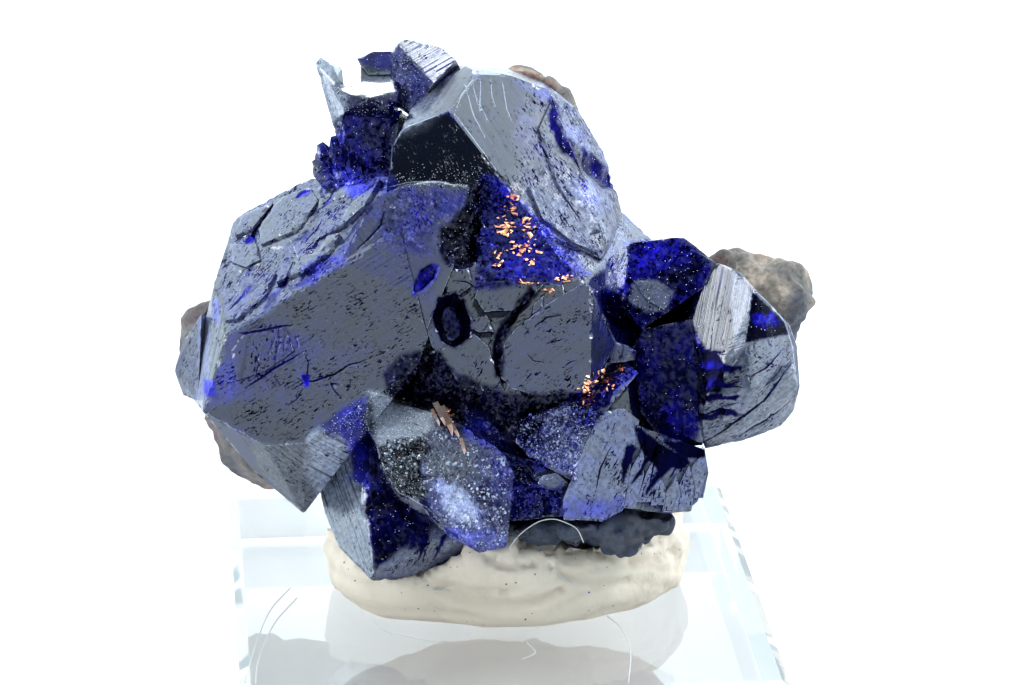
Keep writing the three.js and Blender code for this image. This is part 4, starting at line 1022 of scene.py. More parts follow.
# %% Draw the cracks
cracks = [
    (0.085, [(-16.3, 0.6), (-15.4, 0.65), (-14.0, 0.95), (-13.3, 1.0)]),
    (0.08, [(-16.0, -2.7), (-15.0, -2.1), (-14.2, -1.5), (-13.3, -1.0), (-12.6, -0.6)]),
    (0.05, [(-12.5, -0.7), (-12.2, -1.2), (-12.25, -2.0), (-12.5, -2.4)]),
    (0.07, [(-12.9, -2.1), (-12.5, -2.35), (-11.8, -2.3), (-11.1, -2.0), (-10.4, -1.8), (-9.7, -1.3),
            (-8.6, -1.0)]),
    (0.035, [(-8.4, -0.9), (-7.9, -0.7), (-7.4, -0.4)]),
    (0.04, [(-12.4, -2.5), (-12.9, -3.4), (-13.6, -3.9)]),
    (0.05, [(-11.0, -2.1), (-10.7, -2.8), (-10.4, -3.1), (-10.1, -3.4)]),
    (0.04, [(-11.3, -2.6), (-10.8, -2.4), (-10.2, -2.5)]),
    (0.04, [(-15.6, -0.6), (-15.2, -1.3), (-15.4, -1.8), (-14.8, -2.0)]),
    (0.03, [(-14.2, 0.4), (-14.5, -0.4), (-14.9, -1.1)]),
    (0.03, [(-13.9, 0.5), (-14.1, -0.4), (-14.3, -1.1)]),
    (0.03, [(-13.6, 0.5), (-13.7, -0.4), (-13.75, -1.0)]),
    (0.03, [(-13.3, 0.5), (-13.25, -0.3), (-13.2, -0.8)]),
    (0.03, [(-13.0, 0.4), (-12.85, -0.2), (-12.75, -0.5)]),
    (0.03, [(-6.6, 0.5), (-6.2, 0.7), (-5.9, 0.9)]),
    (0.1, [(-14.1, 3.3), (-13.7, 3.5), (-13.4, 4.2), (-13.1, 4.7)]),
    (0.07, [(-16.1, 6.0), (-15.5, 6.6), (-14.9, 7.5), (-14.2, 8.5)]),
    (0.12, [(-16.0, 5.95), (-15.6, 6.2), (-15.45, 6.6)]),
    (0.12, [(-12.9, 8.6), (-12.5, 8.9), (-12.0, 9.1)]),
    (0.08, [(-11.3, 8.3), (-10.9, 8.6), (-10.6, 9.0)]),
    (0.09, [(-12.3, 5.6), (-11.8, 5.8), (-11.5, 6.2)]),
    (0.08, [(-16.9, 2.0), (-16.4, 2.5), (-16.0, 3.0)]),
    (0.05, [(-12.3, 6.2), (-11.7, 6.8), (-11.4, 7.4)]),
    (0.06, [(-9.3, 5.6), (-8.5, 6.3), (-7.9, 7.0), (-7.6, 8.2)]),
    (0.05, [(1.4, 1.0), (2.2, 1.5), (2.9, 1.6)]),
    (0.04, [(0.9, -0.6), (1.3, -1.1), (1.9, -1.2)]),
    (0.035, [(1.9, -0.2), (2.4, 0.0), (2.7, 0.3)]),
    (0.04, [(3.0, -1.5), (3.5, -1.1), (3.9, -1.0)]),
    (0.05, [(-3.4, 3.7), (-2.7, 3.6), (-2.2, 3.3), (-1.6, 3.4)]),
    (0.05, [(5.0, -9.0), (5.3, -7.6), (5.9, -6.3)]),
    (0.06, [(7.7, -4.6), (7.9, -6.0), (8.0, -7.2)]),
    (0.07, [(8.8, -6.0), (8.5, -7.4), (8.3, -8.6)]),
    (0.06, [(10.2, -6.2), (9.9, -7.4), (9.5, -8.2)]),
    (0.06, [(11.3, -2.0), (12.2, -1.7), (13.1, -1.6)]),
    (0.07, [(11.4, -3.0), (12.4, -2.6), (13.8, -2.7)]),
    (0.06, [(11.3, -4.4), (12.4, -4.0), (13.3, -4.1)]),
    (0.06, [(11.7, -5.9), (13.4, -4.7), (15.1, -3.5), (16.7, -1.3)]),
    (0.06, [(13.6, -5.6), (15.0, -4.8), (16.6, -3.6), (17.0, -2.9)]),
    (0.05, [(14.2, -2.1), (15.2, -1.6), (16.2, -0.4)]),
    (0.05, [(3.0, 6.0), (3.5, 5.6), (4.1, 5.5)]),
    (0.05, [(1.6, 12.0), (1.9, 11.5), (2.2, 10.9)]),
    (0.05, [(-5.6, -11.9), (-5.2, -12.6), (-5.4, -13.1)]),
]
# Pale lines: thin lines on the top face, and painted highlights along the edges of faces.
pale_and_highlight_lines = [
    (0.035, [(-2.8, 15.5), (-2.3, 13.6), (-1.6, 12.3)]),
    (0.03, [(-1.9, 16.0), (-1.9, 14.2), (-1.4, 13.2)]),
    (0.025, [(-1.3, 16.1), (-1.2, 14.8), (-0.9, 13.9)]),
    (0.03, [(-0.6, 15.7), (-0.3, 14.0), (0.0, 13.3)]),
    (0.02, [(-2.4, 15.8), (-2.2, 14.8), (-1.9, 13.9)]),
    (0.03, [(-3.5, 13.8), (-2.3, 12.2), (-0.9, 10.3)]),
    (0.03, [(-3.4, 13.9), (-3.0, 14.9), (-2.3, 15.9)]),
    (0.035, [(-7.4, 9.7), (-7.2, 11.6), (-6.8, 12.5), (-6.5, 12.9), (-3.6, 13.9)]),
    (0.04, [(-7.9, 9.2), (-6.3, 9.6), (-4.4, 9.7), (-2.6, 9.3)]),
    (0.03, [(-8.6, -3.3), (-8.8, -4.8), (-8.1, -6.2), (-7.7, -7.6), (-6.9, -8.9), (-5.1, -9.9),
            (-3.9, -11.1)]),
    (0.03, [(-8.4, -3.0), (-6.3, -3.6), (-4.7, -4.0)]),
    (0.025, [(-4.8, -5.0), (-5.9, -5.8), (-7.2, -6.3)]),
    (0.03, [(14.5, 3.2), (14.3, 1.8), (13.9, -0.2)]),
    (0.035, [(14.5, 3.2), (15.6, 2.2), (16.4, 1.2), (16.8, -0.2), (17.1, -2.4)]),
    (0.03, [(9.9, 6.3), (10.7, 5.6), (12.1, 4.9), (13.4, 4.3)]),
    (0.03, [(-12.0, -5.9), (-11.6, -8.0), (-10.6, -11.9), (-8.3, -14.0)]),
    (0.025, [(-13.3, 6.2), (-12.9, 5.3), (-12.6, 4.7)]),
]


def line_values(seen, lines):
    """The signed distance to the nearest line in widths of it, and how near it is."""
    nearest = np.full(len(seen), 9.0)
    signed = np.full(len(seen), 9.0)
    for width, line in lines:
        line = np.array(line)
        steps = np.linalg.norm(np.diff(line, axis=0), axis=1)
        reached = np.concatenate([[0], np.cumsum(steps)])
        for corner, step, length, start in zip(line, np.diff(line, axis=0), steps, reached):
            offset = seen - corner
            along = np.clip(offset @ step / length**2, 0, 1)
            away = offset - along[:, None] * step
            distance = np.linalg.norm(away, axis=1)
            side = np.sign(step[0] * offset[:, 1] - step[1] * offset[:, 0])
            share = (start + along * length) / reached[-1]
            width_here = width * (0.35 + 0.65 * np.sin(np.pi * np.clip(share, 0.02, 0.98)))
            in_widths = distance / width_here
            closer = in_widths < nearest
            nearest = np.where(closer, in_widths, nearest)
            signed = np.where(closer, in_widths * side, signed)
    return np.clip(signed, -4, 4), smooth((4 - nearest) / 1.5)


crack, crack_near = line_values(seen + wander * 0.12, cracks)
crack_near *= front
pale, pale_near = line_values(seen + wander * 0.05, pale_and_highlight_lines)
pale_near *= front
# This ridge value carries the pale chips on ridges and the painted shade in concave corners; both fade
# where a face is etched.
ridge_faded_by_etch = ridge * (1 - smooth((finish["etch"] - 0.4) * 4))
print("points near a crack:", int((crack_near > 0.5).sum()))

# %% [markdown]
# ## Relief
#
# Now every point moves along its normal. Layers that overlap like roof tiles rise slowly and drop
# at once. A crust of tiny crystals is made of small tilted planes. Frost is fine needles, and
# pits sink in. Ridges are chipped here and there. Everything is a function of the place, so
# points that two faces share move together and the skin stays closed.

# %% Move the points
point_face = np.zeros(len(azurite_points), int)
point_face[azurite_triangles.ravel()] = np.repeat(azurite_faces, 3)
along = (azurite_points * along_face[point_face]).sum(1)
over = (azurite_points * over_face[point_face]).sum(1)
own_place = spot_of_face[point_face] * 5.0
bent = np.stack([along / 2.6, over / 1.2, own_place], axis=1)
torn = np.stack([along / 0.9, over / 0.45, own_place], axis=1)
layer_width, band_width, small_layer_width = 1.7, 0.75, 0.5
layer_drop, small_layer_drop = 0.09, 0.02
layers = over / layer_width + 1.7 * soft_noise(bent, 1.0, 31) + 0.4 * soft_noise(torn, 1.0, 32)
band_middle = np.array([11.9, 0.6])
band_distance = np.linalg.norm(seen - band_middle, axis=1)
bands = band_distance / band_width + 0.7 * soft_noise(torn, 1.6, 33)
in_bands = (seen[:, 0] > 11) & (seen[:, 1] < 0.5) & (seen[:, 1] > -7)
layers = np.where(in_bands, bands, layers)
small_layers = over / small_layer_width + 1.2 * soft_noise(torn, 0.8, 34)
step_height = layer_drop * (1 - np.mod(layers, 1))
step_height += small_layer_drop * (1 - np.mod(small_layers, 1))

crust_size, fine_size = 0.62, 0.3
crust_height = faceted_noise(azurite_points, crust_size, 41)
fine_height = faceted_noise(azurite_points, fine_size, 51)
needle_place = np.stack([along * 0.8, over * 2.2, azurite_points[:, 1]], axis=1)
needles = swelling(needle_place, 0.4, 61)
ridge_chips = smooth((soft_noise(azurite_points, 0.5, 81) - 0.56) * 6) * smooth(ridge * 3)

rise = 0.012 * swelling(azurite_points, 1.6, 71)
rise += finish["steps"] * step_height
rise += finish["crust"] * (0.17 * crust_height + 0.13 * fine_height)
rise += finish["frost"] * (0.11 * needles + 0.12 * fine_height)
rise -= 0.08 * ridge_chips
rise -= 0.03 * smooth(1.6 - np.abs(crack)) * crack_near
rise += finish["raised"] - finish["sink"]
shaped = held_in_box(azurite_points + azurite_normals * rise[:, None])
print("rise in mm:", round(float(rise.min()), 3), "to", round(float(rise.max()), 3))

# %% [markdown]
# ## Effects that several materials share
#
# Three effects come back on the crystals, the rock, the putty and the copper, so each is a node
# group. "Uneven" varies a finish slowly, as all natural things vary. "Specks" scatters small dots.
# "Glitter" tilts the surface from one small cell to the next, as a mass of tiny crystals does, and
# gives each cell a number, so that a few cells can be picked out as glints.

# %% The shared node groups
def new_group(name, given, made):
    """A node group with named inputs and outputs."""
    group = bpy.data.node_groups.new(name, "ShaderNodeTree")
    for title, kind in given.items():
        group.interface.new_socket(title, in_out="INPUT", socket_type=kind)
    for title, kind in made.items():
        group.interface.new_socket(title, in_out="OUTPUT", socket_type=kind)
    return group, add(group, "NodeGroupInput").outputs


def use_group(tree, group, **values):
    """A node that uses a group, with its inputs linked or set."""
    return add(tree, "ShaderNodeGroup", values, node_tree=group).outputs


def vector_sum(tree, operation, first, second):
    """One sum on two vectors."""
    return add(tree, "ShaderNodeVectorMath", {0: first, 1: second}, operation=operation).outputs[0]


NUMBER = "NodeSocketFloat"
VECTOR = "NodeSocketVector"

uneven, given = new_group(
    "Uneven", {"Place": VECTOR, "Patches": NUMBER, "Low": NUMBER, "High": NUMBER}, {"Share": NUMBER}
)
cloud = noise(uneven, given["Place"], given["Patches"], 4.0)
share = ramp(uneven, cloud, 0.3, 0.7, given["Low"], given["High"])
add(uneven, "NodeGroupOutput", {"Share": share})

specks, given = new_group(
    "Specks", {"Place": VECTOR, "Specks": NUMBER, "Amount": NUMBER}, {"Mask": NUMBER}
)
cells = add(specks, "ShaderNodeTexVoronoi", {"Vector": given["Place"], "Scale": given["Specks"]})
number = add(specks, "ShaderNodeSeparateColor", {0: cells.outputs["Color"]}).outputs
kept = maths(specks, "LESS_THAN", number[0], given["Amount"])
size = ramp(specks, number[1], 0.0, 1.0, 0.12, 0.36)
dot = maths(specks, "LESS_THAN", cells.outputs["Distance"], size)
add(specks, "NodeGroupOutput", {"Mask": maths(specks, "MULTIPLY", kept, dot)})

glitter, given = new_group(
    "Glitter",
    {"Place": VECTOR, "Cells": NUMBER, "Tilt": NUMBER, "Normal": VECTOR},
    {"Normal": VECTOR, "Number": NUMBER},
)
cells = add(glitter, "ShaderNodeTexVoronoi", {"Vector": given["Place"], "Scale": given["Cells"]})
centred = vector_sum(glitter, "SUBTRACT", cells.outputs["Color"], (0.5, 0.5, 0.5))
tilt = add(glitter, "ShaderNodeVectorMath", {0: centred, "Scale": given["Tilt"]}, operation="SCALE")
tilted = vector_sum(glitter, "ADD", given["Normal"], tilt.outputs[0])
unit = add(glitter, "ShaderNodeVectorMath", {0: tilted}, operation="NORMALIZE").outputs[0]
number = add(glitter, "ShaderNodeSeparateColor", {0: cells.outputs["Color"]}).outputs[0]
add(glitter, "NodeGroupOutput", {"Normal": unit, "Number": number})
print("node groups:", [group.name for group in bpy.data.node_groups])


def unevenness(tree, place, patches, low, high):
    """A number that wanders from low to high. The more patches, the smaller they are."""
    return use_group(tree, uneven, Place=place, Patches=patches, Low=low, High=high)["Share"]


# %% [markdown]
# ## The azurite's finish
#
# Azurite has a glassy surface over a blue so deep that thick crystals look black. Only thin
# edges and small crystals let enough light through to glow. Real absorption would need long,
# noisy light paths, so we paint the depth instead: a base colour from navy to vivid blue under a
# glossy surface with azurite's high refractive index. In a crack or a broken mark light goes in
# and does not come out again. There we raise Metallic over a nearly black colour, which takes the
# mirror away. The same darkening is painted shade in recesses, gaps and pits, under overhangs and
# in the concave corners where faces meet.
#
# First come the things that lie on a face: small broken marks in two directions, the torn edges
# of growth layers, the lines that were drawn by hand, and the striae.

# %% Marks, layers and lines
def times(tree, first, second):
    """A product that may also come out above 1."""
    return signed_sum(tree, "MULTIPLY", first, second)


def highest(tree, first, *others):
    """The highest of several masks."""
    for other in others:
        first = maths(tree, "MAXIMUM", first, other)
    return first


def stretched(tree, grain, per_mm_along, per_mm_over):
    """The grain's place with its own number of lumps per millimetre along it and over it."""
    return vector_sum(tree, "MULTIPLY", grain, (per_mm_along, per_mm_over, 1.0))


def broken_marks(tree, grain):
    """Small dark marks in two directions, in clumps, where the face is etched."""
    second_direction = add(tree, "ShaderNodeVectorRotate", {"Vector": grain, "Angle": 1.25}).outputs[0]
    clumps = times(tree, noise(tree, grain, 0.7), 0.35)
    amount = signed_sum(tree, "ADD", times(tree, painted(tree, "etch"), 0.1), clumps)
    marks = []
    for place, limit in (
        (stretched(tree, grain, 2.6, 9.0), 0.824),
        (stretched(tree, second_direction, 3.0, 10.0), 0.868),
    ):
        score = signed_sum(tree, "ADD", noise(tree, place, 1.0, 4.0, 0.6), amount)
        marks.append(ramp(tree, score, limit, limit + 0.03))
    return highest(tree, *marks)


def torn_layers(tree, grain):
    """The dark gap at the torn edge of each growth layer, and how much each layer is dimmed."""
    layer = painted(tree, "layers")
    steps = painted(tree, "steps")
    torn_edge = noise(tree, stretched(tree, grain, 0.9, 1.8), 1.0, 4.0, 0.6)
    gap_start = ramp(tree, torn_edge, 0.48, 0.68, 1.02, 0.80)
    gap = maths(tree, "GREATER_THAN", signed_sum(tree, "FRACT", layer), gap_start)
    whole = signed_sum(tree, "FLOOR", layer)
    number = add(tree, "ShaderNodeTexWhiteNoise", {"W": whole}, noise_dimensions="1D").outputs["Value"]
    dimmed = maths(tree, "MULTIPLY", steps, ramp(tree, number, 0.3, 1.0, 0.0, 0.3))
    return maths(tree, "MULTIPLY", gap, times(tree, steps, 1.2)), dimmed


def drawn_line(tree, name, shake, half_width, faded_at):
    """A line from the mesh, with an edge that is shaken a little."""
    away = signed_sum(tree, "ABSOLUTE", painted(tree, name))
    away = signed_sum(tree, "ADD", away, shake)
    line = ramp(tree, away, half_width, faded_at, 1.0, 0.0)
    return maths(tree, "MULTIPLY", line, painted(tree, name + "_near"))


def growth_lines(tree, grain):
    """The striae: their height in millimetres, and how dark each line is."""
    over = add(tree, "ShaderNodeSeparateXYZ", {0: grain}).outputs["Y"]
    inputs = {"W": times(tree, over, 3.8), "Scale": 1.0, "Detail": 4.0, "Roughness": 0.8}
    lines = add(tree, "ShaderNodeTexNoise", inputs, noise_dimensions="1D").outputs["Fac"]
    striae = painted(tree, "striae")
    height = times(tree, lines, times(tree, striae, 0.022))
    reach = ramp(tree, noise(tree, stretched(tree, grain, 0.35, 3.0)), 0.38, 0.58, 0.45, 1.0)
    thin = maths(tree, "MULTIPLY", ramp(tree, lines, 0.40, 0.50, 1.0, 0.0), reach)
    return height, maths(tree, "MULTIPLY", striae, times(tree, thin, 0.85))


# %% [markdown]
# Now the material puts them together. Marks and cracks are sunk with a bump. Two sizes of tilted
# cells make the rough places glitter, and on the frosted crystals some cells and many thin needles
# shine white. The last step is the colour, from the deep blue up to the dust that lies on top.

# %% The azurite material
def glints(tree, place, grain, cell_number):
    """The white glints of frost: single cells and thin needles, in patches."""
    frosted = maths(tree, "MULTIPLY", signed_sum(tree, "SUBTRACT", painted(tree, "glitter"), 0.9), 1.5)
    needles = noise(tree, stretched(tree, grain, 2.6, 8.5), 1.0, 4.0, 0.65)
    needles = ramp(tree, needles, 0.57, 0.70, 0.0, 0.7)
    glint = highest(tree, ramp(tree, cell_number, 0.90, 0.93), needles)
    patches = unevenness(tree, place, 1200.0, 0.1, 1.3)
    return maths(tree, "MULTIPLY", glint, times(tree, frosted, patches))


def azurite_material():
    """Glassy, from nearly black to vivid blue, with striae, marks, cracks, gaps, specks, painted shade
    and painted highlights.
    """
    material, tree, shader, place = new_material("azurite")
    grain = add(tree, "ShaderNodeAttribute", attribute_name="grain").outputs["Vector"]
    shaken = noise(tree, place, 9000.0)
    mark = broken_marks(tree, grain)
    gap, layer_dim = torn_layers(tree, grain)
    crack_line = drawn_line(tree, "crack", times(tree, shaken, 1.2), 1.35, 1.75)
    pale_and_highlight_line = drawn_line(tree, "pale", times(tree, shaken, 2.0), 1.6, 2.2)
    stria_height, stria_shade = growth_lines(tree, grain)

    sunk = times(tree, highest(tree, mark, crack_line), 0.03)
    height = signed_sum(tree, "SUBTRACT", stria_height, sunk)
    normal = add(tree, "ShaderNodeBump", {"Height": height, "Distance": MM, "Strength": 1.0}).outputs[0]
    tilt = times(tree, painted(tree, "glitter"), 0.65)
    for cells_per_metre in (2300.0, 8000.0):
        facets = use_group(tree, glitter, Place=place, Cells=cells_per_metre, Tilt=tilt, Normal=normal)
        normal = facets["Normal"]
    tree.links.new(normal, shader.inputs["Normal"])
    glint = glints(tree, place, grain, facets["Number"])

    ridge_side = painted(tree, "ridge")
    # Painted shade: concave edges, where faces meet, are darkened.
    corner_shade = ramp(tree, ridge_side, -0.35, -0.9, 0.0, 0.7)
    # Painted shade: the map's dark places lose their mirror, a little unevenly. Marks, cracks, layer
    # gaps and striae are the crystal's own.
    dark = maths(tree, "MULTIPLY", painted(tree, "dark"), unevenness(tree, place, 3200.0, 0.85, 1.15))
    marks_and_shade = highest(tree, mark, gap, crack_line, dark, stria_shade, corner_shade, layer_dim)

    blue = painted(tree, "blue")
    fine_tone = unevenness(tree, place, 4000.0, 0.6, 1.4)
    face_tone = times(tree, unevenness(tree, place, 800.0, 0.45, 1.55), fine_tone)
    face_blue = maths(tree, "MULTIPLY", blue, face_tone)
    colour = blend(tree, face_blue, (0.003, 0.004, 0.010), (0.016, 0.020, 0.55))
    # Paler colour: haze, which is frost in some places and painted light on faces that shine in others;
    # pale chips on ridges, which also act as painted edge highlights; and the pale lines, most of them
    # painted highlights along edges.
    rim = maths(tree, "MULTIPLY", ramp(tree, ridge_side, 0.55, 0.9), ramp(tree, shaken, 0.42, 0.58))
    pale = highest(
        tree,
        maths(tree, "MULTIPLY", painted(tree, "haze"), fine_tone),
        maths(tree, "MULTIPLY", rim, 0.25),
        maths(tree, "MULTIPLY", pale_and_highlight_line, 0.45),
    )
    colour = blend(tree, pale, colour, (0.66, 0.74, 0.95))
    # Where marks and painted shade lie, the colour turns from nearly black to deep blue, under
    # Metallic.
    hollow_tone = times(tree, unevenness(tree, place, 550.0, 0.1, 1.5), fine_tone)
    hollow_blue = maths(tree, "MULTIPLY", blue, hollow_tone)
    hollow = blend(tree, hollow_blue, (0.0015, 0.0015, 0.006), (0.009, 0.006, 0.36))
    colour = blend(tree, marks_and_shade, colour, hollow)
    colour = blend(tree, glint, colour, (0.62, 0.72, 0.98))
    dust = maths(tree, "MULTIPLY", painted(tree, "dust"), 0.5)
    speck = use_group(tree, specks, Place=place, Specks=13000.0, Amount=dust)["Mask"]
    colour = blend(tree, speck, colour, (0.75, 0.8, 0.9))
    tree.links.new(colour, shader.inputs["Base Color"])
    mirrorless = maths(tree, "SUBTRACT", marks_and_shade, highest(tree, speck, glint))
    tree.links.new(mirrorless, shader.inputs["Metallic"])
    tree.links.new(painted(tree, "rough"), shader.inputs["Roughness"])
    shader.inputs["IOR"].default_value = 1.8
    return material


azurite = azurite_material()

# %% Build the azurite
rough_triangles = (finish["crust"] + finish["frost"])[azurite_triangles].mean(1) > 0.4
crystals = new_piece("azurite", shaped, azurite_triangles, azurite, rough_triangles)
crystals.data.set_sharp_from_angle(angle=math.radians(24))
for key in ("blue", "dark", "haze", "rough", "glitter", "dust", "striae", "etch", "steps"):
    paint(crystals, key, finish[key])
lines_on_faces = {"crack": crack, "crack_near": crack_near, "pale": pale, "pale_near": pale_near}
for key, values in {"layers": layers, "ridge": ridge_faded_by_etch, **lines_on_faces}.items():
    paint(crystals, key, values)
corner_points = azurite_triangles.ravel()
corner_faces = np.repeat(azurite_faces, 3)
corner_spots = azurite_points[corner_points]
along = (corner_spots * along_face[corner_faces]).sum(1)
over = (corner_spots * over_face[corner_faces]).sum(1)
apart = 7.3
grain_values = np.stack([along, over, spot_of_face[corner_faces] * apart], axis=1)
grain_layer = crystals.data.attributes.new("grain", "FLOAT_VECTOR", "CORNER")
grain_layer.data.foreach_set("vector", grain_values.astype(np.float32).ravel())
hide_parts("azurite_crystals")
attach(crystals, "root")
print("azurite's rough triangles:", int(rough_triangles.sum()), "of", len(rough_triangles))

# %% [markdown]
# ## Small crystals in the hollows
#
# The hollows are lined with crystals of 0.16 to 0.42 mm. Each is a short blade with a wedge at its
# end. We scatter blades over the crusted places, lean each a little away from the surface's normal,
# sink its foot and join them all in one mesh.

# %% Grow the small crystals
def blade(length, width, thickness):
    """The corners and triangles of a blade with a slanted wedge at its end."""
    sides_of_foot = ((-1, -1), (1, -1), (1, 1), (-1, 1))
    low = [(x * width, y * thickness, 0) for x, y in sides_of_foot]
    shoulder = [(x * 0.94, y * 0.94, length * 0.62) for x, y, z in low]
    wedge = [(-width * 0.55, 0, length), (width * 0.6, 0, length * 0.84)]
    corners = np.array(low + shoulder + wedge)
    sides = [(0, 1, 5), (0, 5, 4), (1, 2, 6), (1, 6, 5), (2, 3, 7), (2, 7, 6), (3, 0, 4), (3, 4, 7)]
    tip = [(4, 5, 9), (4, 9, 8), (5, 6, 9), (6, 7, 8), (6, 8, 9), (7, 4, 8)]
    return corners, np.array(sides + tip)


small_count = 380
scatter = np.random.default_rng(23)
crusted = np.nonzero((finish["crust"] > 0.55) & (azurite_normals[:, 1] < 0.6))[0]
blades, blade_blue, blade_dark = [], [], []
for index in scatter.choice(crusted, small_count, replace=False):
    length = float(scatter.uniform(0.16, 0.42))
    width = length * scatter.uniform(0.16, 0.3)
    corners, faces = blade(length, width, length * scatter.uniform(0.08, 0.16))
    lean = Vector(azurite_normals[index]) + Vector(scatter.uniform(-0.7, 0.7, 3))
    spin = Matrix.Rotation(scatter.uniform(0, math.tau), 3, "Z")
    turn = lean.to_track_quat("Z", "Y").to_matrix() @ spin
    base = shaped[index] - azurite_normals[index] * length * 0.3
    blades.append((corners @ np.array(turn).T + base, faces))
    # Each small crystal takes the blue of its spot and part of its painted shade.
    blue = min(1.0, finish["blue"][index] * scatter.uniform(0.5, 2.2))
    blade_blue.append(np.full(len(corners), blue))
    blade_dark.append(np.full(len(corners), finish["dark"][index] * scatter.uniform(0.3, 1.1)))
small_points, small_triangles = joined(blades)
small_crystals = new_piece(
    "small_crystals", held_in_box(small_points), small_triangles, azurite, flat=True
)
paint(small_crystals, "blue", np.concatenate(blade_blue))
paint(small_crystals, "dark", np.concatenate(blade_dark))
paint(small_crystals, "rough", np.full(len(small_points), plain_face["rough"]))
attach(small_crystals, "root")
print("small crystals:", len(blades))

# %% [markdown]
# ## Copper
#
# Native copper sits in two hollows as small bright flakes, and above the frosted crystal as a few
# dull, upright blades. They are placed as seen from the front, so we look for the spot where a line
# of sight from the camera first meets the crystals. A flake is an uneven little fan of triangles
# that stands up a little. A blade turns its wide side to the viewer.

# %% Find the spot on a surface
def surface_tree(points, triangles):
    """A search tree over a mesh in the specimen's frame."""
    return BVHTree.FromPolygons([tuple(spot) for spot in points], triangles.tolist())


def landed(place, tree):
    """The spot and the normal where the line of sight through a seen place meets a surface."""
    eye = Vector((0, -camera_distance, 0))
    sight = (Vector((place[0], 0, place[1])) - eye).normalized()
    spot, normal = tree.ray_cast(eye, sight)[:2]
    if spot is not None and normal.dot(sight) > 0:
        normal = -normal
    return spot, normal


azurite_tree = surface_tree(shaped, azurite_triangles)

# %% Lay the copper
flake_clusters = [
    ((0.0, 8.4), (0.4, 0.8), 24), ((-0.4, 6.9), (0.7, 0.6), 32), ((1.0, 6.8), (0.5, 0.7), 20),
    ((0.5, 5.6), (1.1, 0.35), 26), ((-0.7, 5.0), (0.3, 0.6), 10), ((1.1, 4.8), (0.3, 0.2), 7),
    ((3.3, 3.8), (0.5, 0.4), 14), ((0.9, 3.6), (0.5, 0.2), 8), ((2.1, 3.1), (0.3, 0.2), 6),
    ((4.6, -3.0), (0.7, 0.8), 34), ((5.6, -2.3), (0.8, 0.6), 34), ((6.5, -1.6), (0.5, 0.3), 14),
    ((-3.7, -4.5), (0.35, 0.9), 16),
]
copper_blades = [
    ((-4.5, -3.5), (-3.9, -5.0), 0.17),
    ((-4.1, -3.7), (-3.5, -5.6), 0.16),
    ((-3.8, -4.3), (-3.1, -5.8), 0.11),
    ((-4.7, -3.9), (-4.3, -5.0), 0.09),
    ((-3.0, -5.6), (-2.8, -6.7), 0.11),
]
scatter = np.random.default_rng(5)


def flake(spot, normal):
    """An uneven fan of triangles that stands up from a spot."""
    corners = int(scatter.integers(5, 8))
    size = scatter.uniform(0.05, 0.2)
    angles = np.sort(scatter.uniform(0, math.tau, corners))
    reach = size * scatter.uniform(0.5, 1.3, corners)
    height = scatter.normal(0, 0.015, corners)
    ring = np.stack([reach * np.cos(angles) * 1.3, reach * np.sin(angles), height], axis=1)
    ring = np.concatenate([[[0, 0, size * 0.15]], ring])
    lean = normal + Vector((0, 0, 0.5)) + Vector(scatter.uniform(-0.6, 0.6, 3))
    turn = np.array(lean.to_track_quat("Z", "Y").to_matrix())
    fan = [(0, 1 + k, 1 + (k + 1) % corners) for k in range(corners)]
    return ring @ turn.T + np.array(spot + normal * 0.05), np.array(fan)


def copper_blade(start, end, width):
    """A blade between two seen places, at the depth of its lower end."""
    last = landed(end, azurite_tree)[0]
    depth = last.y - 0.25
    first = Vector((start[0], depth - 0.15, start[1]))
    reach = Vector((last.x, depth, last.z)) - first
    long_axis = reach.normalized()
    wide_axis = long_axis.cross(Vector((0, 1, 0))).normalized()
    turn = np.array([wide_axis, long_axis.cross(wide_axis), long_axis])
    corners, faces = blade(reach.length, width, width * 0.6)
    return corners @ turn + np.array(first), faces


copper_parts = []
for middle, spread, count in flake_clusters:
    for number in range(count):
        place = np.array(middle) + scatter.normal(0, 0.5, 2) * spread
        spot, normal = landed(place, azurite_tree)
        if spot is not None:
            copper_parts.append(flake(spot, normal))
bright_corners = sum(len(points) for points, triangles in copper_parts)
copper_parts += [copper_blade(start, end, width) for start, end, width in copper_blades]
copper_points, copper_triangles = joined(copper_parts)
copper, tree, shader, place = new_material("native_copper")
tone = unevenness(tree, place, 2500.0, 0.0, 1.0)
bright_colour = blend(tree, tone, (0.98, 0.50, 0.24), (0.80, 0.25, 0.18))
dull_colour = blend(tree, tone, (0.52, 0.41, 0.40), (0.44, 0.24, 0.17))
colour = blend(tree, painted(tree, "dull"), bright_colour, dull_colour)
tree.links.new(colour, shader.inputs["Base Color"])
shader.inputs["Metallic"].default_value = 1.0
shader.inputs["Roughness"].default_value = 0.28
flakes = new_piece("copper_flakes", copper_points, copper_triangles, copper, flat=True)
paint(flakes, "dull", np.arange(len(copper_points)) >= bright_corners)
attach(flakes, "root")
print("copper flakes and blades:", len(copper_parts))

# %% [markdown]
# ## The rock
#
# The rock is rusty and crumbly, with no flat faces. It gets an even net like the crystals and
# several sizes of noise. It also grows a little, to close the narrow gap that the solids keep
# between the rock and the crystals. Under the crystals it is a crust of round lumps, painted dark
# both as the crust's colour and as painted shade under the crystals; its left end is darkened as
# painted shade too. Beside the lower left crystal it is tucked in, because there the putty reaches
# the crystal.

# %% Build the rock
def even_net(node, spacing):
    """The points, triangles and normals of a solid with an even net."""
    solid = flat_faces(node)
    normals = np.array([tuple(face.normal) for face in solid.faces])
    return welded(*netted(solid, lambda face: spacing), normals)[:3]


def nearness(seen, middle, reach):
    """How near seen places are to a middle, as 0 on an ellipse around it and 1 in the middle."""
    return 1 - np.linalg.norm((seen - middle) / reach, axis=1)


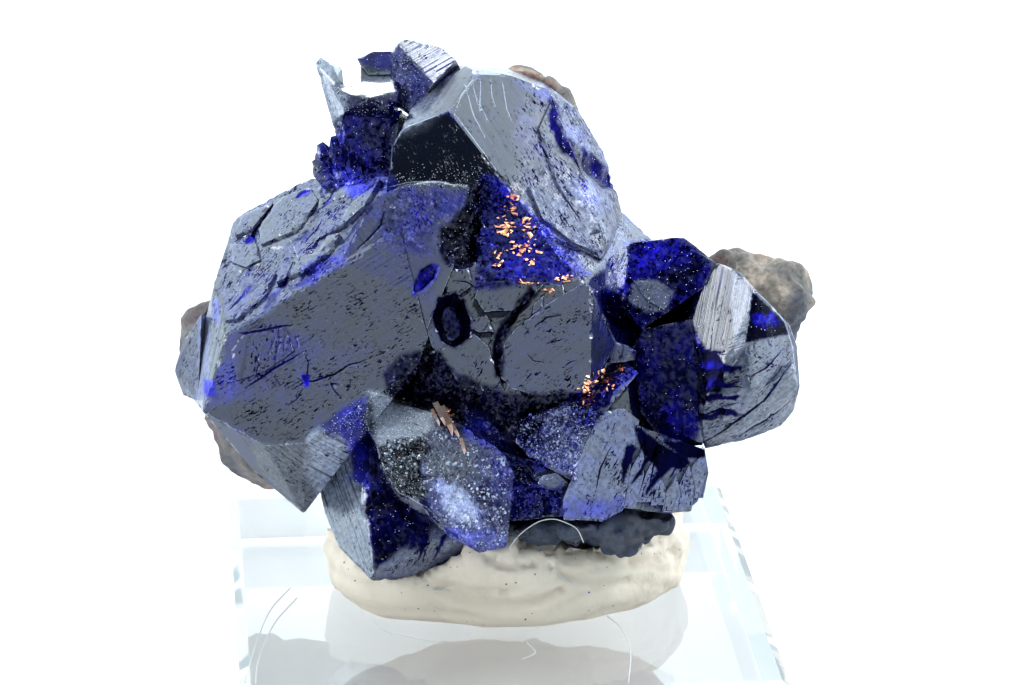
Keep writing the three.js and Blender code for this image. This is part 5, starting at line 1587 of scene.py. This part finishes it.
rock_points, rock_triangles, rock_normals = even_net("matrix_rock", 0.2)
rock_seen = seen_from_front(rock_points)
lumps = swelling(rock_points, 1.9, 201)
crumbs = swelling(rock_points, 0.8, 202)
grit = swelling(rock_points, 0.42, 203)
round_lumps = swelling(rock_points, 1.0, 204)
rock_growth = 0.12
rock_rise = rock_growth + 0.75 * lumps + 0.4 * crumbs + 0.16 * grit
underside = smooth((-9.0 - rock_seen[:, 1]) / 0.8) * smooth((rock_seen[:, 0] + 3) / 1.0)
rock_rise += underside * (0.9 * round_lumps + 0.2 * crumbs + 0.35 * grit - 0.2)
tucked = smooth((-10.0 - rock_seen[:, 1]) / 0.8) * smooth((-1.2 - rock_seen[:, 0]) / 1.0)
rock_rise -= 1.3 * tucked
rock_shaped = held_in_box(rock_points + rock_normals * rock_rise[:, None])
# Painted shade: the left end is darkened, and so is the underside, where it is also a dark crust. Near
# the right end the rock is darker around one spot and in patches.
shaded_left = 0.55 * smooth((-14.0 - rock_seen[:, 0]) / 1.0)
dark_right = 0.75 * smooth(0.4 + nearness(rock_seen, (17.1, 2.0), (0.7, 1.6)) + 1.6 * lumps)
dark_underside = underside * (0.88 + 0.12 * smooth(crumbs * 4 + 0.5))
stain_and_shade = np.maximum(dark_underside, np.maximum(shaded_left, dark_right))

# %% The rock's material
rock_material, tree, shader, place = new_material("brown_rock")
patches = unevenness(tree, place, 350.0, 0.0, 1.0)
colour = blend(tree, patches, (0.52, 0.41, 0.33), (0.13, 0.12, 0.115))
colour = blend(tree, unevenness(tree, place, 2000.0, 0.0, 0.5), colour, (0.05, 0.05, 0.05))
rust = maths(tree, "MULTIPLY", unevenness(tree, place, 240.0, -1.2, 1.0), 0.4)
colour = blend(tree, rust, colour, (0.42, 0.16, 0.09))
# The dark crust colour also serves as painted shade under the crystals and at the left end.
crust_tone = unevenness(tree, place, 900.0, 0.0, 1.0)
stain = blend(tree, crust_tone, (0.065, 0.08, 0.12), (0.02, 0.025, 0.05))
colour = blend(tree, painted(tree, "stain_and_shade"), colour, stain)
tree.links.new(colour, shader.inputs["Base Color"])
shader.inputs["Roughness"].default_value = 0.85
plain_normal = add(tree, "ShaderNodeNewGeometry").outputs["Normal"]
facets = use_group(tree, glitter, Place=place, Cells=5000.0, Tilt=0.5, Normal=plain_normal)
tree.links.new(facets["Normal"], shader.inputs["Normal"])
rock = new_piece("brown_rock", rock_shaped, rock_triangles, rock_material)
paint(rock, "stain_and_shade", stain_and_shade)
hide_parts("matrix_rock")
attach(rock, "root")
print("rock net:", len(rock_points), "points")

# %% [markdown]
# ## The putty
#
# The putty was kneaded and pressed: it has soft lumps, torn folds under the crystals, grooves where
# a thumb dragged over it and fine swirls where it was rolled. The grooves are drawn like the
# cracks. The swirls are thin valleys where a slow noise crosses certain values, which gives curved
# lines. At two places it swells up against the crystals.

# %% Build the putty
putty_grooves = [
    (0.34, [(-6.1, -13.9), (-4.6, -14.8), (-2.2, -15.6), (0.1, -15.9), (1.5, -15.6), (3.0, -14.9)]),
    (0.2, [(-5.4, -13.8), (-3.6, -14.6), (-1.4, -15.0), (0.6, -14.9)]),
    (0.22, [(2.2, -13.3), (3.4, -14.1), (5.0, -14.5), (7.0, -14.2)]),
    (0.26, [(5.2, -12.4), (6.8, -13.2), (8.4, -13.1), (9.8, -12.3)]),
    (0.2, [(-1.6, -13.0), (0.0, -13.5), (1.4, -13.2)]),
]
tack_points, tack_triangles, tack_normals = even_net("mineral_tack", 0.3)
tack_seen = seen_from_front(tack_points)
swell = swelling(tack_points, 4.0, 301)
knead = swelling(tack_points, 1.5, 302)
slow = soft_noise(tack_points * np.array([0.35, 0.35, 0.8]), 2.4, 303)
flow = (tack_points[:, 2] * 0.5 + 1.6 * slow) / 0.8
swirl = smooth((0.2 - np.abs(np.mod(flow, 1) - 0.5)) / 0.2)
swirl_here = smooth((soft_noise(tack_points, 3.0, 304) - 0.45) * 6)
groove, groove_near = line_values(tack_seen, putty_grooves)
facing = smooth(-tack_normals[:, 1] * 3)
pressed = smooth((1.8 - np.abs(groove)) / 1.4) * groove_near * facing
crease = np.maximum(swirl * swirl_here, 0.9 * pressed)
fold_here = smooth((tack_points[:, 2] + 13.8) / 2.0)
folds = faceted_noise(tack_points * np.array([1.0, 1.0, 0.6]), 1.1, 305)
tears = swelling(tack_points, 0.75, 306)
swollen = smooth(0.3 + nearness(tack_seen, (-3.2, -12.6), (2.2, 1.1)))
swollen_left = smooth(0.3 + nearness(tack_seen, (-5.3, -14.0), (1.6, 0.8)))
tack_rise = 0.35 * swell + 0.3 * knead - 0.09 * crease - 0.26 * pressed
tack_rise += (0.6 * folds + 0.45 * tears) * fold_here
tack_rise += 0.55 * swollen + 0.6 * swollen_left
tack_shaped = held_in_box(tack_points + tack_normals * tack_rise[:, None])

# %% The putty's material
tack_material, tree, shader, place = new_material("white_putty")
tone = unevenness(tree, place, 160.0, 0.0, 1.0)
colour = blend(tree, tone, (0.90, 0.78, 0.64), (0.80, 0.68, 0.55))
# The creases are darker: dirt in the fine swirls, and painted shade in the pressed grooves.
dirt_and_shade_in_creases = maths(tree, "MULTIPLY", painted(tree, "crease"), 0.22)
colour = blend(tree, dirt_and_shade_in_creases, colour, (0.42, 0.32, 0.25))
dirt = use_group(tree, specks, Place=place, Specks=5200.0, Amount=0.025)["Mask"]
colour = blend(tree, dirt, colour, (0.14, 0.12, 0.12))
blue_bits = use_group(tree, specks, Place=place, Specks=4200.0, Amount=0.008)["Mask"]
colour = blend(tree, blue_bits, colour, (0.03, 0.08, 0.5))
tree.links.new(colour, shader.inputs["Base Color"])
fine_relief = unevenness(tree, place, 900.0, 0.0, 0.05)
relief = add(tree, "ShaderNodeBump", {"Height": fine_relief, "Distance": MM, "Strength": 1.0})
tree.links.new(relief.outputs["Normal"], shader.inputs["Normal"])
shader.inputs["Roughness"].default_value = 0.55
tack = new_piece("white_putty", tack_shaped, tack_triangles, tack_material)
paint(tack, "crease", crease)
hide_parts("mineral_tack")
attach(tack, "root")
print("putty net:", len(tack_points), "points")

# %% [markdown]
# ## Lint
#
# A few lint fibres cling to the putty and lie on the block, and one stands in an arc in front of
# the rock. Each is a thin tube along a smooth line through a few spots.

# %% Shape a fibre
block_top = 10.0
lint_radius = 0.032


def smooth_line(corners, pieces=8):
    """A smooth line through given spots."""
    corners = np.array(corners)
    padded = np.concatenate([[2 * corners[0] - corners[1]], corners, [2 * corners[-1] - corners[-2]]])
    line = []
    for a, b, c, d in zip(padded, padded[1:], padded[2:], padded[3:]):
        bend = 2 * a - 5 * b + 4 * c - d
        twist = 3 * b - a - 3 * c + d
        for t in np.arange(pieces) / pieces:
            line.append(0.5 * (2 * b + (c - a) * t + bend * t**2 + twist * t**3))
    line.append(corners[-1])
    return np.array(line)


def tube(line, radius, sides=6):
    """The points and triangles of a thin tube along a line."""
    step = np.gradient(line, axis=0)
    step /= np.linalg.norm(step, axis=1)[:, None]
    first = np.cross(step, (0.3, 0.5, 0.8))
    first /= np.linalg.norm(first, axis=1)[:, None]
    second = np.cross(step, first)
    angles = (np.arange(sides) * math.tau / sides)[None, :, None]
    ring = np.cos(angles) * first[:, None] + np.sin(angles) * second[:, None]
    points = (line[:, None] + ring * radius).reshape(-1, 3)
    faces = []
    for row in range(len(line) - 1):
        for side in range(sides):
            a, b = row * sides + side, row * sides + (side + 1) % sides
            faces += [(a, b, b + sides), (a, b + sides, a + sides)]
    return points, np.array(faces)


def on_block_top(place):
    """The spot on the block's top face under a line of sight."""
    eye = specimen_place @ Vector((0, -camera_distance * MM, 0))
    aim = specimen_place @ Vector((place[0] * MM, 0, place[1] * MM))
    sight = aim - eye
    share = ((block_top + lint_radius) * MM - eye.z) / sight.z
    return to_specimen @ (eye + sight * share)


def on_putty(place):
    """The spot just above the putty under a line of sight."""
    spot, normal = landed(place, tack_tree)
    return spot + normal * 0.04


# %% Lay the fibres
block_lint = [
    [(-13.3, -14.7), (-14.6, -16.2), (-15.5, -18.5), (-16.0, -20.4)],
    [(-12.9, -15.3), (-14.3, -16.9), (-15.2, -19.0), (-15.4, -20.5)],
    [(5.7, -16.4), (6.6, -17.2), (7.1, -18.5), (7.0, -20.4)],
    [(-8.4, -16.6), (-7.6, -17.3), (-6.0, -17.7), (-4.3, -18.0)],
    [(0.9, -18.0), (1.4, -18.6), (0.6, -19.0)],
]
putty_lint = [
    [(-5.8, -14.5), (-4.6, -14.9), (-3.4, -14.6)],
    [(2.4, -13.6), (3.4, -14.4), (4.8, -14.5)],
]
lint_arc = [
    (-0.2, -12.4), (0.3, -11.7), (1.0, -11.1), (1.75, -10.7), (2.5, -10.6), (3.2, -10.8), (3.9, -11.2),
    (4.3, -12.0),
]
tack_tree = surface_tree(tack_shaped, tack_triangles)
rock_tree = surface_tree(rock_shaped, rock_triangles)
fibres = [[on_block_top(place) for place in fibre] for fibre in block_lint]
fibres += [[on_putty(place) for place in fibre] for fibre in putty_lint]
arc_hits = [landed(place, tree)[0] for place in lint_arc for tree in (tack_tree, rock_tree)]
arc_depth = min(spot.y for spot in arc_hits if spot is not None) - 0.1
arc_scale = (camera_distance + arc_depth) / camera_distance
fibres.append([Vector((x * arc_scale, arc_depth, z * arc_scale)) for x, z in lint_arc])
tubes = [tube(smooth_line([tuple(spot) for spot in fibre]), lint_radius) for fibre in fibres]
lint_points, lint_triangles = joined(tubes)
lint_material, tree, shader, place = new_material("lint")
shader.inputs["Base Color"].default_value = (0.72, 0.72, 0.72, 1.0)
shader.inputs["Roughness"].default_value = 0.7
lint = new_piece("lint", held_in_box(lint_points), lint_triangles, lint_material)
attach(lint, "root")
print("lint fibres:", len(fibres))

# %% [markdown]
# ## The acrylic block
#
# The block keeps its measured shape. Clear acrylic is glass in the shader: full transmission, a
# refractive index of 1.49 and a slightly warm grey, which also darkens the block a little as
# painted shade. Light is mirrored many times inside the block.
# With too few bounces it would end as black dashes, so we allow ten.

# %% Finish the block
scene.cycles.glossy_bounces = 10
block_material, tree, shader, place = new_material("clear_acrylic")
# Painted shade: the grey tint makes the whole block darker than clear acrylic.
shader.inputs["Base Color"].default_value = (0.80, 0.765, 0.75, 1.0)
shader.inputs["Roughness"].default_value = 0.03
shader.inputs["IOR"].default_value = 1.49
shader.inputs["Transmission Weight"].default_value = 1.0
block_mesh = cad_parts["acrylic_block"].data
block_mesh.materials.clear()
block_mesh.materials.append(block_material)
print("block's material:", block_material.name)
